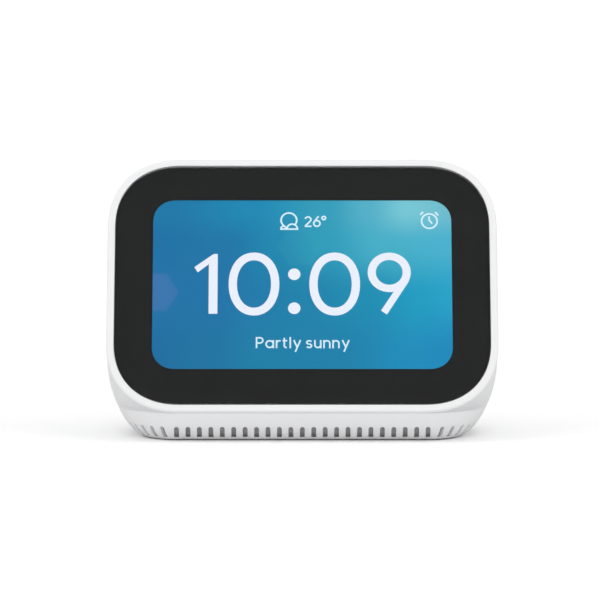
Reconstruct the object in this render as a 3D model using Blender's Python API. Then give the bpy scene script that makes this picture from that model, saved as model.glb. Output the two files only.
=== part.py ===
"""Smart display: a tabletop clock with a leaning touch screen, a small speaker and a vented base."""
import bpy
import bmesh
from math import asin, atan, cos, pi, radians, sin, sqrt, tan
from mathutils import Matrix, Vector

mm = 0.001

# ---- driving dimensions ---------------------------------------------------------------------
# overall
body_width = 112.8 * mm
body_depth = 68.0 * mm
face_height = 77.8 * mm            # along the leaning face
face_lean = radians(24.6)          # from vertical
lip_height = 9.0 * mm              # lowest edge of the face above the table
face_corner = 21.4 * mm            # reach of the face's soft corners
corner_power = 2.25                # 2 is a circle, more is squarer
wall = 2.0 * mm
clearance = 0.3 * mm               # between pieces that touch on the real object
seam = 0.15 * mm                   # between front frame and rear shell

# shell form
bowl_height = 23.0 * mm            # below this the sides curve in
bowl_inset = 12.5 * mm             # how far the sides have come in at the table
front_tuck = 0.80                  # the front curves in by this share of the sides' curve
rear_tuck = 0.66
shell_bottom = 0.35 * mm
crown_depth = 15.0 * mm            # the top, front to back
crown_slope = 0.12                 # fall per length towards the rear
crown_blend = 24.0 * mm            # height over which the crown's slope fades in
plan_power = 2.7                   # squareness of the rear in plan
side_share = 0.18                  # straight share of each side in plan
base_corner_growth = 0.33          # how fast the base's straight front shortens with height
base_front_flat = 37.8 * mm        # half the straight part of the base's front edge
base_outline_height = 1.0 * mm

# vent slots round the base
slot_pitch = 3.3 * mm
slot_width = 1.38 * mm
slot_low = 1.1 * mm
slot_high = 4.3 * mm

# front frame, glass and display
rim = 2.2 * mm
rim_fillet = 0.9 * mm
frame_band = 1.4 * mm              # depth of the visible band round the face
ledge_back = 3.4 * mm              # depth of the frame's rear face
glass_sink = 0.05 * mm
glass_thick = 1.1 * mm
glass_fit = 0.15 * mm
glass_edge = 0.25 * mm
gasket_thick = 0.45 * mm
screen_width = 86.4 * mm
screen_height = 51.84 * mm
panel_border = 2.9 * mm
panel_thick = 1.5 * mm
window_fit = 1.4 * mm
backlight_thick = 2.0 * mm
bracket_thick = 0.6 * mm
bracket_width = 100.0 * mm
bracket_height = 66.0 * mm
frame_post_x = 49.6 * mm
frame_post_v = 20.0 * mm
frame_post_radius = 1.7 * mm

# boards behind the display
standoff = 4.4 * mm
board_thick = 1.2 * mm
board_width = 68.0 * mm
board_height = 30.0 * mm
board_rise = 11.0 * mm             # board centre above the face centre
board_hole_x = 31.0 * mm
board_hole_v = 12.0 * mm
chip_size = 13.0 * mm
chip_thick = 1.3 * mm
can_width = 27.0 * mm
can_height = 22.0 * mm
can_depth = 2.4 * mm
can_wall = 0.3 * mm
pad_thick = 0.6 * mm
spreader_width = 56.0 * mm
spreader_height = 26.0 * mm
spreader_thick = 1.0 * mm

# top controls
button_length = 14.0 * mm
button_width = 6.0 * mm
button_spacing = 15.5 * mm         # from the middle to each button's centre
button_proud = 0.35 * mm
button_travel = 0.3 * mm
button_gap = 0.25 * mm
flange_width = 1.3 * mm
flange_thick = 0.6 * mm
plunger_radius = 1.2 * mm
plunger_height = 1.1 * mm
tact_size = 5.0 * mm
tact_height = 1.2 * mm
top_board_width = 62.0 * mm
top_board_depth = 9.0 * mm
mic_spacing = 26.5 * mm
mic_hole_radius = 0.6 * mm
top_screw_spacing = 4.0 * mm
top_boss_radius = 1.8 * mm
top_screw_bite = 3.2 * mm

# base, chassis and speaker
foot_thick = 1.0 * mm
foot_width = 5.0 * mm
foot_lap = 1.0 * mm                # the foot reaches this far outside the base plate
base_inset = wall + 3.2 * mm       # from the outside of the shell to the base plate's edge
plate_thick = 1.6 * mm
chassis_low = 9.0 * mm
chassis_thick = 1.6 * mm
chassis_width = 84.0 * mm
chassis_front = -20.5 * mm
chassis_rear = 17.5 * mm
post_x = 29.0 * mm
post_front = -12.0 * mm
post_rear = 8.0 * mm
post_radius = 2.7 * mm
post_top = 21.0 * mm
speaker_y = -1.5 * mm
flange_radius = 18.9 * mm
cone_radius = 12.4 * mm
surround_radius = 15.8 * mm
coil_radius = 5.0 * mm
magnet_radius = 13.0 * mm
magnet_thick = 5.0 * mm
cone_travel = 0.8 * mm
box_top_radius = 15.6 * mm
box_height = 18.8 * mm
box_wall = 1.4 * mm

# rear board, switch and socket
rear_board_width = 24.0 * mm
rear_board_low = 9.0 * mm
rear_board_high = 47.0 * mm
rear_screw_x = 9.0 * mm
rear_screw_z = 27.5 * mm
rear_boss_radius = 2.2 * mm
screw_bite = 6.0 * mm              # depth of the rear bosses' bores
switch_z = 40.0 * mm
switch_travel = 2.5 * mm
knob_width = 5.0 * mm
knob_height = 3.0 * mm
knob_proud = 0.7 * mm
jack_z = 14.0 * mm
jack_size = 9.0 * mm
jack_bore_radius = 3.2 * mm
jack_pin_radius = 1.0 * mm
jack_pin_recess = 2.4 * mm
jack_hole_radius = 4.0 * mm

# cables
ribbon_thick = 0.2 * mm
lead_diameter = 1.2 * mm
lead_spacing = 2.4 * mm
lead_end_gap = 1.6 * mm            # from the leads' ends to the board's lower edge

# fasteners
screw_radius = 0.7 * mm
screw_head_radius = 1.45 * mm
screw_head_height = 0.8 * mm
long_screw_radius = 1.1 * mm
long_head_radius = 2.1 * mm
long_head_height = 1.0 * mm

# ---- places worked out from them ------------------------------------------------------------
lean_sin, lean_cos = sin(face_lean), cos(face_lean)
lip_y = -body_depth / 2 - rim_fillet * (lean_sin + lean_cos - 1)
shell_plane = frame_band + seam                       # depth of the shell's front edge behind the face
join_z = lip_height - shell_plane * lean_sin          # the shell's lowest front edge
shell_top = join_z + face_height * lean_cos
crown_angle = atan(crown_slope)
plate_low = foot_thick + clearance
box_radius = flange_radius + clearance + box_wall
rear_board_y = speaker_y + box_radius + 2 * clearance
plate_high = plate_low + plate_thick

collection = bpy.context.scene.collection


# ---- building tools -------------------------------------------------------------------------
def remove_everything():
    for obj in list(bpy.data.objects):
        bpy.data.objects.remove(obj, do_unlink=True)


def material(name, colour, roughness, metallic=0.0):
    made = bpy.data.materials.new(name)
    made.use_nodes = True
    shader = made.node_tree.nodes["Principled BSDF"]
    shader.inputs["Base Color"].default_value = (*colour, 1.0)
    shader.inputs["Roughness"].default_value = roughness
    shader.inputs["Metallic"].default_value = metallic
    return made


def empty(name, matrix):
    made = bpy.data.objects.new(name, None)
    made.matrix_world = matrix
    collection.objects.link(made)
    return made


def add(name, mesh_or_bm, finish, parent=None, location=(0, 0, 0), rotation=(0, 0, 0)):
    """Put a finished mesh in the scene as one named object."""
    mesh = mesh_or_bm
    if isinstance(mesh_or_bm, bmesh.types.BMesh):
        bmesh.ops.recalc_face_normals(mesh_or_bm, faces=mesh_or_bm.faces[:])
        if mesh_or_bm.calc_volume(signed=True) < 0:
            bmesh.ops.reverse_faces(mesh_or_bm, faces=mesh_or_bm.faces[:])
        mesh = bpy.data.meshes.new(name)
        mesh_or_bm.to_mesh(mesh)
        mesh_or_bm.free()
        mesh.materials.append(finish)
        mesh.shade_smooth()
        mesh.set_sharp_from_angle(angle=radians(35))
    obj = bpy.data.objects.new(name, mesh)
    obj.parent = parent
    obj.location = location
    obj.rotation_euler = rotation
    collection.objects.link(obj)
    return obj


def boolean(obj, other_bm, operation="DIFFERENCE", parent=None):
    """Cut obj with, or join it to, a hidden guide solid."""
    guide = add(f"guide_{obj.name}_{len(obj.modifiers)}", other_bm, obj.data.materials[0], parent)
    guide.hide_render = True
    guide.display_type = "WIRE"
    step = obj.modifiers.new(f"{operation.lower()}_{len(obj.modifiers)}", "BOOLEAN")
    step.operation = operation
    step.object = guide


def skin(rings, closed=False, bm=None):
    """Quads between rings of 3-D points, with a face on each end, or closed like a picture frame."""
    bm = bm or bmesh.new()
    rows = [[bm.verts.new(p) for p in ring] for ring in rings]
    pairs = list(zip(rows, rows[1:]))
    if closed:
        pairs.append((rows[-1], rows[0]))
    else:
        bm.faces.new(rows[0])
        bm.faces.new(rows[-1])
    for low, high in pairs:
        for i in range(len(low)):
            j = (i + 1) % len(low)
            bm.faces.new((low[i], low[j], high[j], high[i]))
    return bm


def corner_points(reach, power, steps):
    """A soft quarter corner from (reach, 0) to (0, reach)."""
    points = []
    for i in range(steps + 1):
        c, s = cos(pi / 2 * i / steps), sin(pi / 2 * i / steps)
        scale = reach / (abs(c) ** power + abs(s) ** power) ** (1 / power)
        points.append((c * scale, s * scale))
    return points


def outline(half_x, half_y, reach, power=corner_power, steps=12):
    """A rectangle with soft corners, anticlockwise round its centre."""
    quarter = corner_points(reach, power, steps)
    first = [(half_x - reach + x, half_y - reach + y) for x, y in quarter]
    second = [(-x, y) for x, y in reversed(first)]
    third = [(-x, -y) for x, y in first]
    fourth = [(x, -y) for x, y in reversed(first)]
    return first + second + third + fourth


def at_height(points, z):
    return [(x, y, z) for x, y in points]


def plate(half_x, half_y, low, high, reach=1.0 * mm, edge=0.0, centre=(0, 0), power=2.0, steps=4, bm=None):
    """A flat plate with round corners and, where edge is set, chamfered rims."""
    def ring(inset, z):
        shape = outline(half_x - inset, half_y - inset, reach - min(inset, reach / 2), power, steps)
        return [(x + centre[0], y + centre[1], z) for x, y in shape]
    levels = [(0.0, low), (0.0, high)]
    if edge:
        levels = [(edge, low), (0.0, low + edge), (0.0, high - edge), (edge, high)]
    return skin([ring(*level) for level in levels], bm=bm)


def turned(profile, centre=(0, 0), steps=32, bm=None):
    """A solid turned about a vertical axis from a closed profile of (radius, height)."""
    bm = bm or bmesh.new()
    hollow = all(r > 0 for r, z in profile)
    rings = []
    for r, z in profile:
        if r > 0:
            angles = [2 * pi * i / steps for i in range(steps)]
            rings.append([bm.verts.new((centre[0] + r * cos(a), centre[1] + r * sin(a), z)) for a in angles])
        else:
            rings.append([bm.verts.new((centre[0], centre[1], z))])
    pairs = list(zip(rings, rings[1:]))
    if hollow:
        pairs.append((rings[-1], rings[0]))
    for low, high in pairs:
        for i in range(steps):
            j = (i + 1) % steps
            corners = [low[i % len(low)], low[j % len(low)], high[j % len(high)], high[i % len(high)]]
            unique = list(dict.fromkeys(corners))
            if len(unique) > 2:
                bm.faces.new(unique)
    return bm


def peg(radius, low, high, centre=(0, 0), steps=16, bm=None):
    return turned([(0, low), (radius, low), (radius, high), (0, high)], centre, steps, bm)


def tube(radius, bore, low, high, centre=(0, 0), steps=16, bm=None):
    return turned([(bore, low), (radius, low), (radius, high), (bore, high)], centre, steps, bm)


def block(low, high, bm=None):
    """A box between two corners."""
    bm = bm or bmesh.new()
    size = [h - l for l, h in zip(low, high)]
    middle = [(l + h) / 2 for l, h in zip(low, high)]
    bmesh.ops.create_cube(bm, size=1.0, matrix=Matrix.LocRotScale(middle, None, size))
    return bm


def turn(bm, matrix):
    bmesh.ops.transform(bm, matrix=matrix, verts=bm.verts[:])
    return bm


def screw(radius, length, head_radius, head_height):
    """A pan-head screw that points down, with the underside of its head at z = 0."""
    profile = [(0, -length), (radius * 0.6, -length), (radius, -length + radius), (radius, 0), (head_radius, 0),
               (head_radius, head_height * 0.6), (head_radius * 0.75, head_height), (0, head_height)]
    return turned(profile, steps=12)


def strip(points, width, thickness):
    """A flat flexible cable along points in the plane x = 0, centred on it."""
    rings = []
    for i, point in enumerate(points):
        before, after = points[max(i - 1, 0)], points[min(i + 1, len(points) - 1)]
        along = (Vector(after) - Vector(before)).normalized()
        side = Vector((-along.y, along.x)) * thickness / 2
        a, b = Vector(point) + side, Vector(point) - side
        rings.append([(-width / 2, *a), (width / 2, *a), (width / 2, *b), (-width / 2, *b)])
    return skin(rings)


def curve_through(points, per_span):
    """Evenly stepped points on a smooth curve through the route's own points."""
    out = []
    for i in range(len(points) - 1):
        p0 = Vector(points[max(i - 1, 0)])
        p1, p2 = Vector(points[i]), Vector(points[i + 1])
        p3 = Vector(points[min(i + 2, len(points) - 1)])
        for k in range(per_span):
            t = k / per_span
            out.append(0.5 * (2 * p1 + (p2 - p0) * t + (2 * p0 - 5 * p1 + 4 * p2 - p3) * t ** 2
                              + (3 * p1 - p0 - 3 * p2 + p3) * t ** 3))
    return out + [Vector(points[-1])]


def lead(name, route, diameter, finish):
    """A round wire along a smooth route, as a bevelled curve with filled ends."""
    path = curve_through(route, 4)
    curve = bpy.data.curves.new(name, "CURVE")
    curve.dimensions = "3D"
    curve.bevel_depth = diameter / 2
    curve.bevel_resolution = 1
    curve.use_fill_caps = True
    spline = curve.splines.new("POLY")
    spline.points.add(len(path) - 1)
    for knot, place in zip(spline.points, path):
        knot.co = (*place, 1.0)
    curve.materials.append(finish)
    obj = bpy.data.objects.new(name, curve)
    collection.objects.link(obj)
    return obj


# ---- the body's form ------------------------------------------------------------------------
def tuck(z):
    """How far the sides have curved in at height z."""
    below = min(max((bowl_height - z) / bowl_height, 0.0), 1.0)
    return bowl_inset * (1 - sqrt(1 - below ** 2))


def face_v(z):
    """Distance up the leaning face where the shell's front plane has height z."""
    return (z - join_z) / lean_cos


def plane_y(z, depth=shell_plane):
    """The y of a plane parallel to the face, depth behind it, at height z."""
    v = (z - lip_height + depth * lean_sin) / lean_cos
    return lip_y + v * lean_sin + depth * lean_cos


def face_half(v, inset=0.0):
    """Half the width of the face's outline, v up from its lower edge."""
    reach = face_corner - inset
    from_end = min(v - inset, face_height - inset - v)
    gap = min(max((reach - from_end) / reach, 0.0), 1.0)
    return body_width / 2 - inset - reach + reach * (1 - gap ** corner_power) ** (1 / corner_power)


def side_half(z, inset=0.0):
    """Half the width of the shell at height z."""
    half = body_width / 2 - tuck(z) - inset
    if face_v(z) > face_height / 2:
        half = face_half(face_v(z), inset)
    return half


def rear_y(z):
    if z < bowl_height:
        return body_depth / 2 - rear_tuck * tuck(z)
    crown_rear = plane_y(shell_top) + crown_depth
    up = (z - bowl_height) / (shell_top - bowl_height)
    return crown_rear + (body_depth / 2 - crown_rear) * sqrt(max(1 - up ** 2.1, 0.0))


def section_plan(z, inset=0.0):
    """What a level section of the shell needs: half width, front y, corner radius, corner start, side y, rear y."""
    half = side_half(z, inset)
    if z < join_z:
        flat = base_front_flat - base_corner_growth * (z - base_outline_height)
        return half, plane_y(join_z) + front_tuck * (tuck(z) - tuck(join_z)) + inset, half - flat, 0.0
    flat_at_join = base_front_flat - base_corner_growth * (join_z - base_outline_height)
    radius = body_width / 2 - tuck(join_z) - flat_at_join - inset
    overhang = max(half - face_half(face_v(z), inset), 0.0)
    return half, plane_y(z), radius, asin(min(max(1 - overhang / radius, 0.0), 1.0))


def level_section(z, inset=0.0, back=0.0, corner_steps=8, rear_steps=10):
    """One level outline of the shell, anticlockwise from the front's middle, its crown sloping to the rear."""
    half, front, radius, start = section_plan(z, inset)
    front += back
    middle = front + radius * cos(start)
    rear = rear_y(z) - inset
    side = middle + side_share * (rear - middle)
    right = [(0.0, front), ((half - radius + radius * sin(start)) / 2, front)]
    for i in range(corner_steps + 1):
        angle = start + (pi / 2 - start) * i / corner_steps
        spread = 0.7 * side_share * (rear - middle) * i / corner_steps
        right.append((half - radius + radius * sin(angle), middle - radius * cos(angle) + spread))
    for i in range(rear_steps + 1):
        angle = pi / 2 * i / rear_steps
        x = half * cos(angle) ** (2 / plan_power)
        y = side + (rear - side) * sin(angle) ** (2 / plan_power)
        right.append((x if i < rear_steps else 0.0, y))
    left = [(-x, y) for x, y in right[-2:0:-1]]
    fade = min(max((z - shell_top + crown_blend) / crown_blend, 0.0), 1.0)
    fall = crown_slope * fade * fade * (3 - 2 * fade)
    return [(x, y, z - fall * (y - plane_y(z))) for x, y in right + left]


def shell_levels(inset=0.0, corner_steps=9):
    """Heights of the sections: up the bowl, at the points of the face's own corners, and between them."""
    low = [shell_bottom, slot_low * 0.9, 2.2 * mm, slot_high * 0.95, 5.4 * mm, 6.9 * mm]
    ends = [v for x, v in corner_points(face_corner - inset, corner_power, corner_steps)]
    reach = face_corner - inset
    rising = [join_z + (inset + reach - v) * lean_cos for v in reversed(ends)]
    falling = [shell_top - (inset + reach - v) * lean_cos for v in ends]
    low = [z for z in low if z < rising[0] - 0.5 * mm]
    middle = [rising[-1] + (falling[0] - rising[-1]) * i / 5 for i in range(1, 5)]
    return low + rising + middle + falling


def on_outline(points, distance):
    """The point and outward direction at a distance along a closed outline."""
    for a, b in zip(points, points[1:] + points[:1]):
        edge = Vector(b[:2]) - Vector(a[:2])
        if distance <= edge.length:
            along = edge.normalized()
            return Vector(a[:2]) + along * distance, Vector((along.y, -along.x))
        distance -= edge.length
    raise ValueError("distance is longer than the outline")


def outline_length(points):
    return sum((Vector(b[:2]) - Vector(a[:2])).length for a, b in zip(points, points[1:] + points[:1]))


def side_x(y, z):
    """Half the width of the shell at one y and z behind the front corner."""
    half, front, radius, start = section_plan(z)
    middle = front + radius * cos(start)
    side = middle + side_share * (rear_y(z) - middle)
    behind = max((y - side) / (rear_y(z) - side), 0.0)
    return half * (1 - behind ** plan_power) ** (1 / plan_power)


# ---- housing --------------------------------------------------------------------------------
def post_places():
    return [(x, y) for y in (post_front, post_rear) for x in (-post_x, post_x)]


def base_outline(inset):
    return [(x, y) for x, y, z in level_section(base_outline_height, inset)]


def rib_guide():
    """Ribs that hold the screw posts to the side walls."""
    low, high = chassis_low + chassis_thick + 2 * clearance, post_top - 2 * mm
    bm = bmesh.new()
    for x, y in post_places():
        side = 1 if x > 0 else -1
        reach = sorted((x + side * post_radius * 0.85, side * (side_x(y, low) - wall * 0.6)))
        block((reach[0], y - 0.8 * mm, low), (reach[1], y + 0.8 * mm, high), bm)
    return bm


def slot_guide():
    """Upright cutters all round the base, square to its outline, with one at the middle of the front."""
    points = level_section(base_outline_height)
    total = outline_length(points)
    count = 2 * round(total / slot_pitch / 2)
    bm = bmesh.new()
    for i in range(count):
        place, outward = on_outline(points, (i + 0.001) * total / count)
        across = Vector((-outward.y, outward.x)) * slot_width / 2
        start, end = place - outward * 4 * mm, place + outward * 6 * mm
        ring = [start - across, start + across, end + across, end - across]
        skin([[(p.x, p.y, z) for p in ring] for z in (slot_low, slot_high)], bm=bm)
    return bm


def pill(length, width, low, high, centre=(0, 0), bm=None):
    return plate(length / 2, width / 2, low, high, reach=width / 2, centre=centre, steps=6, bm=bm)


def rear_shell(finish):
    shell = add("rear_shell", skin([level_section(z) for z in shell_levels()]), finish)

    heights = [z for z in shell_levels(wall, 6) if 1.5 * mm < z < shell_top - wall * 1.5]
    heights = [shell_bottom - 1 * mm] + heights + [shell_top - wall * 1.1]
    cavity = [level_section(z, wall, 3 * mm if z > join_z else 0.0, 4, 8) for z in heights]
    boolean(shell, skin(cavity))

    lip = wall + 0.1 * mm                          # leaves a fine step round the front opening
    inner = outline(body_width / 2 - lip, face_height / 2 - lip, face_corner - lip + 0.4 * mm, steps=8)
    boolean(shell, skin([at_height(inner, -8 * mm), at_height(inner, 3 * mm)]), parent=face)

    boolean(shell, rib_guide(), "UNION")
    low, high = chassis_low + chassis_thick + clearance, post_top
    posts, bores = bmesh.new(), bmesh.new()
    for place in post_places():
        peg(post_radius, low, high, place, bm=posts)
        peg(long_screw_radius + clearance, low - 1 * mm, high - 2 * mm, place, 12, bores)
    boolean(shell, posts, "UNION")
    boolean(shell, bores)

    bosses, boss_bores = bmesh.new(), bmesh.new()
    boss_length = rear_y(rear_screw_z) - wall / 2 - (rear_board_y + board_thick + clearance)
    for place in rear_screw_places():
        peg(rear_boss_radius, 0.0, boss_length, place, 12, bosses)
        peg(screw_radius + clearance, -1 * mm, screw_bite, place, 8, boss_bores)
    turn(bosses, rear_frame(rear_board_y + board_thick + clearance))
    turn(boss_bores, rear_frame(rear_board_y + board_thick + clearance))
    boolean(shell, bosses, "UNION")
    boolean(shell, boss_bores)

    bosses, boss_bores = bmesh.new(), bmesh.new()
    for place in top_screw_places():
        peg(top_boss_radius, top_board_top + clearance, -wall * 0.6, place, 12, bosses)
        peg(screw_radius + clearance, top_board_top - 1 * mm, top_board_top + top_screw_bite, place, 8, boss_bores)
    boolean(shell, bosses, "UNION", crown)
    boolean(shell, boss_bores, parent=crown)

    boolean(shell, slot_guide())

    holes = bmesh.new()
    for side in (-1, 1):
        pill(button_length + 2 * button_gap, button_width + 2 * button_gap, -6 * mm, 3 * mm,
             (side * button_spacing, 0), holes)
        peg(mic_hole_radius, -6 * mm, 3 * mm, (side * mic_spacing, 0), 10, holes)
    boolean(shell, holes, parent=crown)

    slot = pill(knob_width + switch_travel + 2 * clearance, knob_height + 2 * clearance, -8 * mm, 5 * mm)
    boolean(shell, turn(slot, rear_frame(rear_y(switch_z)) @ Matrix.Translation((0, switch_z, 0))))
    socket = turn(peg(jack_hole_radius, -6 * mm, 5 * mm, steps=24), Matrix.Rotation(pi / 24, 4, "Z"))
    boolean(shell, turn(socket, rear_frame(rear_y(jack_z)) @ Matrix.Translation((0, jack_z, 0))))
    return shell


def front_frame(finish):
    """The band round the glass, the ledge that carries it and four screw posts."""
    half_x, half_y = body_width / 2, face_height / 2

    def ring(inset, depth):
        return at_height(outline(half_x - inset, half_y - inset, face_corner - inset), -depth)

    glass_room = rim - glass_fit
    spigot = wall + clearance
    window_x, window_y = window_half()
    window = outline(window_x, window_y, 4 * mm)
    fillet = [(rim_fillet * (1 - sin(a)), rim_fillet * (1 - cos(a))) for a in (0, pi / 8, pi / 4, 3 * pi / 8, pi / 2)]
    rings = [at_height(window, -ledge_back), at_height(window, -ledge_front), ring(glass_room, ledge_front),
             ring(glass_room, 0)]
    rings += [ring(inset, depth) for inset, depth in fillet]
    rings += [ring(0, frame_band), ring(spigot, frame_band), ring(spigot, ledge_back)]
    frame = add("front_frame", skin(rings, closed=True), finish, face)
    low = bracket_front - clearance
    posts, bores = bmesh.new(), bmesh.new()
    for place in frame_post_places():
        peg(frame_post_radius, -low, -ledge_back + 0.6 * mm, place, 12, posts)
        peg(screw_radius + clearance, -low - 1 * mm, -ledge_back - 0.2 * mm, place, 8, bores)
    boolean(frame, posts, "UNION", face)
    boolean(frame, bores, parent=face)
    return frame


def base_plate(finish):
    """The bottom cover: a plate inside the shell's lower edge with four screw pillars."""
    outer = base_outline(base_inset)
    made = add("base_plate", skin([at_height(outer, plate_low), at_height(outer, plate_high)]), finish)
    pillars, bores, recesses = bmesh.new(), bmesh.new(), bmesh.new()
    for place in post_places():
        peg(post_radius, plate_high - 0.5 * mm, chassis_low - clearance, place, bm=pillars)
        peg(long_screw_radius + clearance, plate_low - 1 * mm, chassis_low, place, 12, bores)
        peg(long_head_radius + clearance, plate_low - 1 * mm, plate_low + long_head_height, place, 16, recesses)
    boolean(made, pillars, "UNION")
    boolean(made, bores)
    boolean(made, recesses)


def rubber_foot(finish):
    inset = base_inset - foot_lap
    outer, inner = base_outline(inset), base_outline(inset + foot_width)
    edge = 0.2 * mm
    soft = base_outline(inset + edge)
    soft_inner = base_outline(inset + foot_width - edge)
    rings = [at_height(soft, 0.0), at_height(outer, edge), at_height(outer, foot_thick),
             at_height(inner, foot_thick), at_height(inner, edge), at_height(soft_inner, 0.0)]
    add("rubber_foot", skin(rings, closed=True), finish)


def base_screws(finish):
    length = post_top - 4 * mm - plate_low
    for i, (x, y) in enumerate(post_places()):
        place = (x, y, plate_low + long_head_height)
        add(f"base_screw_{i + 1}", screw(long_screw_radius, length, long_head_radius, long_head_height * 0.8),
            finish, location=place, rotation=(pi, 0, 0))


# ---- glass and display, in the face's frame: x across, y up the face, z out of it ------------
ledge_front = glass_sink + glass_thick + clearance + gasket_thick + clearance
panel_front = glass_sink + glass_thick + clearance
panel_back = panel_front + panel_thick
backlight_front = panel_back + clearance
backlight_back = backlight_front + backlight_thick
bracket_front = max(backlight_back, ledge_back) + clearance
bracket_back = bracket_front + bracket_thick
board_front = bracket_back + standoff + clearance
board_back = board_front + board_thick
chip_back = board_back + clearance + chip_thick
can_back = board_back + clearance + can_depth
pad_front = can_back + clearance
spreader_front = pad_front + pad_thick + clearance


def window_half():
    return (screen_width / 2 + panel_border + window_fit, screen_height / 2 + panel_border + window_fit)


def frame_post_places():
    return [(x, y) for y in (-frame_post_v, frame_post_v) for x in (-frame_post_x, frame_post_x)]


def board_post_places():
    return [(x, board_rise + y) for y in (-board_hole_v, board_hole_v) for x in (-board_hole_x, board_hole_x)]


def display_stack(finish):
    inset = rim
    glass = [(glass_edge, glass_sink), (0, glass_sink + glass_edge), (0, glass_sink + glass_thick)]
    rings = [at_height(outline(body_width / 2 - inset - i, face_height / 2 - inset - i, face_corner - inset - i), -d)
             for i, d in glass]
    add("cover_glass", skin(rings), finish["glass"], face)

    window_x, window_y = window_half()
    outer = outline(body_width / 2 - rim - 0.6 * mm, face_height / 2 - rim - 0.6 * mm, face_corner - rim - 0.6 * mm)
    inner = outline(window_x + 0.5 * mm, window_y + 0.5 * mm, 4.5 * mm)
    front, back = ledge_front - clearance - gasket_thick, ledge_front - clearance
    rings = [at_height(outer, -back), at_height(outer, -front), at_height(inner, -front), at_height(inner, -back)]
    add("glass_gasket", skin(rings, closed=True), finish["foam"], face)

    panel_x, panel_y = window_x - window_fit, window_y - window_fit
    add("lcd_panel", plate(panel_x, panel_y, -panel_back, -panel_front, reach=1.5 * mm, edge=0.15 * mm),
        finish["panel"], face)
    add("backlight_unit", plate(panel_x + 0.4 * mm, panel_y + 0.4 * mm, -backlight_back, -backlight_front,
                                reach=1.5 * mm, edge=0.3 * mm), finish["steel"], face)


def display_bracket(finish):
    """A pressed sheet behind the display, with four standoffs that carry the main board."""
    made = add("display_bracket", plate(bracket_width / 2, bracket_height / 2, -bracket_back, -bracket_front,
                                        reach=5 * mm, steps=5), finish, face)
    corners = bmesh.new()
    for x in (-1, 1):
        for y in (-1, 1):
            ring = outline(6 * mm, 6 * mm, 2 * mm, steps=3)
            move = (x * bracket_width / 2, y * bracket_height / 2)
            skin([[(px + move[0], py + move[1], z) for px, py in ring]
                  for z in (-bracket_back - 1 * mm, -bracket_front + 1 * mm)], bm=corners)
    boolean(made, corners, parent=face)
    pillars, holes = bmesh.new(), bmesh.new()
    for place in board_post_places():
        peg(2.0 * mm, -board_front + clearance, -bracket_back + 0.2 * mm, place, 12, pillars)
        peg(screw_radius + clearance, -board_front, -bracket_back - 0.5 * mm, place, 8, holes)
    boolean(made, pillars, "UNION", face)
    for place in frame_post_places():
        peg(screw_radius + clearance, -bracket_back - 1 * mm, -bracket_front + 1 * mm, place, 8, holes)
    boolean(made, holes, parent=face)


def screws(name, places, head_z, length, finish, parent, up):
    """Small screws, their heads' undersides at head_z, pointing up or down the parent's z."""
    for i, (x, y) in enumerate(places):
        add(f"{name}_{i + 1}", screw(screw_radius, length, screw_head_radius, screw_head_height), finish, parent,
            (x, y, head_z), (pi if up else 0, 0, 0))


def main_board(finish):
    made = add("main_board", plate(board_width / 2, board_height / 2, -board_back, -board_front,
                                   centre=(0, board_rise)), finish["board"], face)
    holes = bmesh.new()
    for place in board_post_places():
        peg(screw_radius + clearance, -board_back - 1 * mm, -board_front + 1 * mm, place, 8, holes)
    boolean(made, holes, parent=face)
    centre = (0, board_rise)
    add("processor", plate(chip_size / 2, chip_size / 2, -chip_back, -board_back - clearance, 0.4 * mm,
                           0.1 * mm, centre), finish["chip"], face)
    can = add("shield_can", plate(can_width / 2, can_height / 2, -can_back, -board_back - clearance, 0.8 * mm,
                                  centre=centre), finish["steel"], face)
    room = plate(can_width / 2 - can_wall, can_height / 2 - can_wall, -can_back + can_wall, -board_back + 1 * mm,
                 0.5 * mm, centre=centre)
    boolean(can, room, parent=face)
    add("thermal_pad", plate(can_width / 2 - 4 * mm, can_height / 2 - 4 * mm, -pad_front - pad_thick, -pad_front,
                             1 * mm, centre=centre), finish["pad"], face)
    add("heat_spreader", plate(spreader_width / 2, spreader_height / 2, -spreader_front - spreader_thick,
                               -spreader_front, 3 * mm, 0.2 * mm, (0, board_rise + 2 * mm)), finish["aluminium"], face)


# ---- top controls, in the crown's frame: x across, y to the rear, z out of the top ------------
top_board_top = -(wall + clearance + flange_thick + clearance + plunger_height + tact_height + 2 * clearance)
tact_top = top_board_top + clearance + tact_height
plunger_low = tact_top + button_travel + 0.1 * mm


def top_screw_places():
    return [(-top_screw_spacing, 0.0), (top_screw_spacing, 0.0)]


def top_controls(finish):
    board = add("top_board", plate(top_board_width / 2, top_board_depth / 2, top_board_top - board_thick,
                                   top_board_top), finish["board"], crown)
    holes = bmesh.new()
    for place in top_screw_places():
        peg(screw_radius + clearance, top_board_top - 3 * mm, top_board_top + 1 * mm, place, 8, holes)
    boolean(board, holes, parent=crown)
    flange_top = -wall - clearance
    flange_low = flange_top - flange_thick
    for side, name in ((-1, "down"), (1, "up")):
        x = side * button_spacing
        size = tact_size / 2
        add(f"tact_switch_{name}", plate(size, size, top_board_top + clearance, tact_top, 0.5 * mm, 0.1 * mm),
            finish["chip"], crown, (x, 0, 0))
        add(f"tact_plunger_{name}", peg(plunger_radius, plunger_low, flange_low - clearance, steps=12),
            finish["steel"], crown, (x, 0, 0))
        add(f"volume_{name}_button", button(flange_low, flange_top), finish["white"], crown, (x, 0, 0))
        add(f"microphone_{name}", plate(1.9 * mm, 1.5 * mm, top_board_top + clearance,
                                        top_board_top + clearance + 1.1 * mm, 0.2 * mm),
            finish["steel"], crown, (side * mic_spacing, 0, 0))


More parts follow.
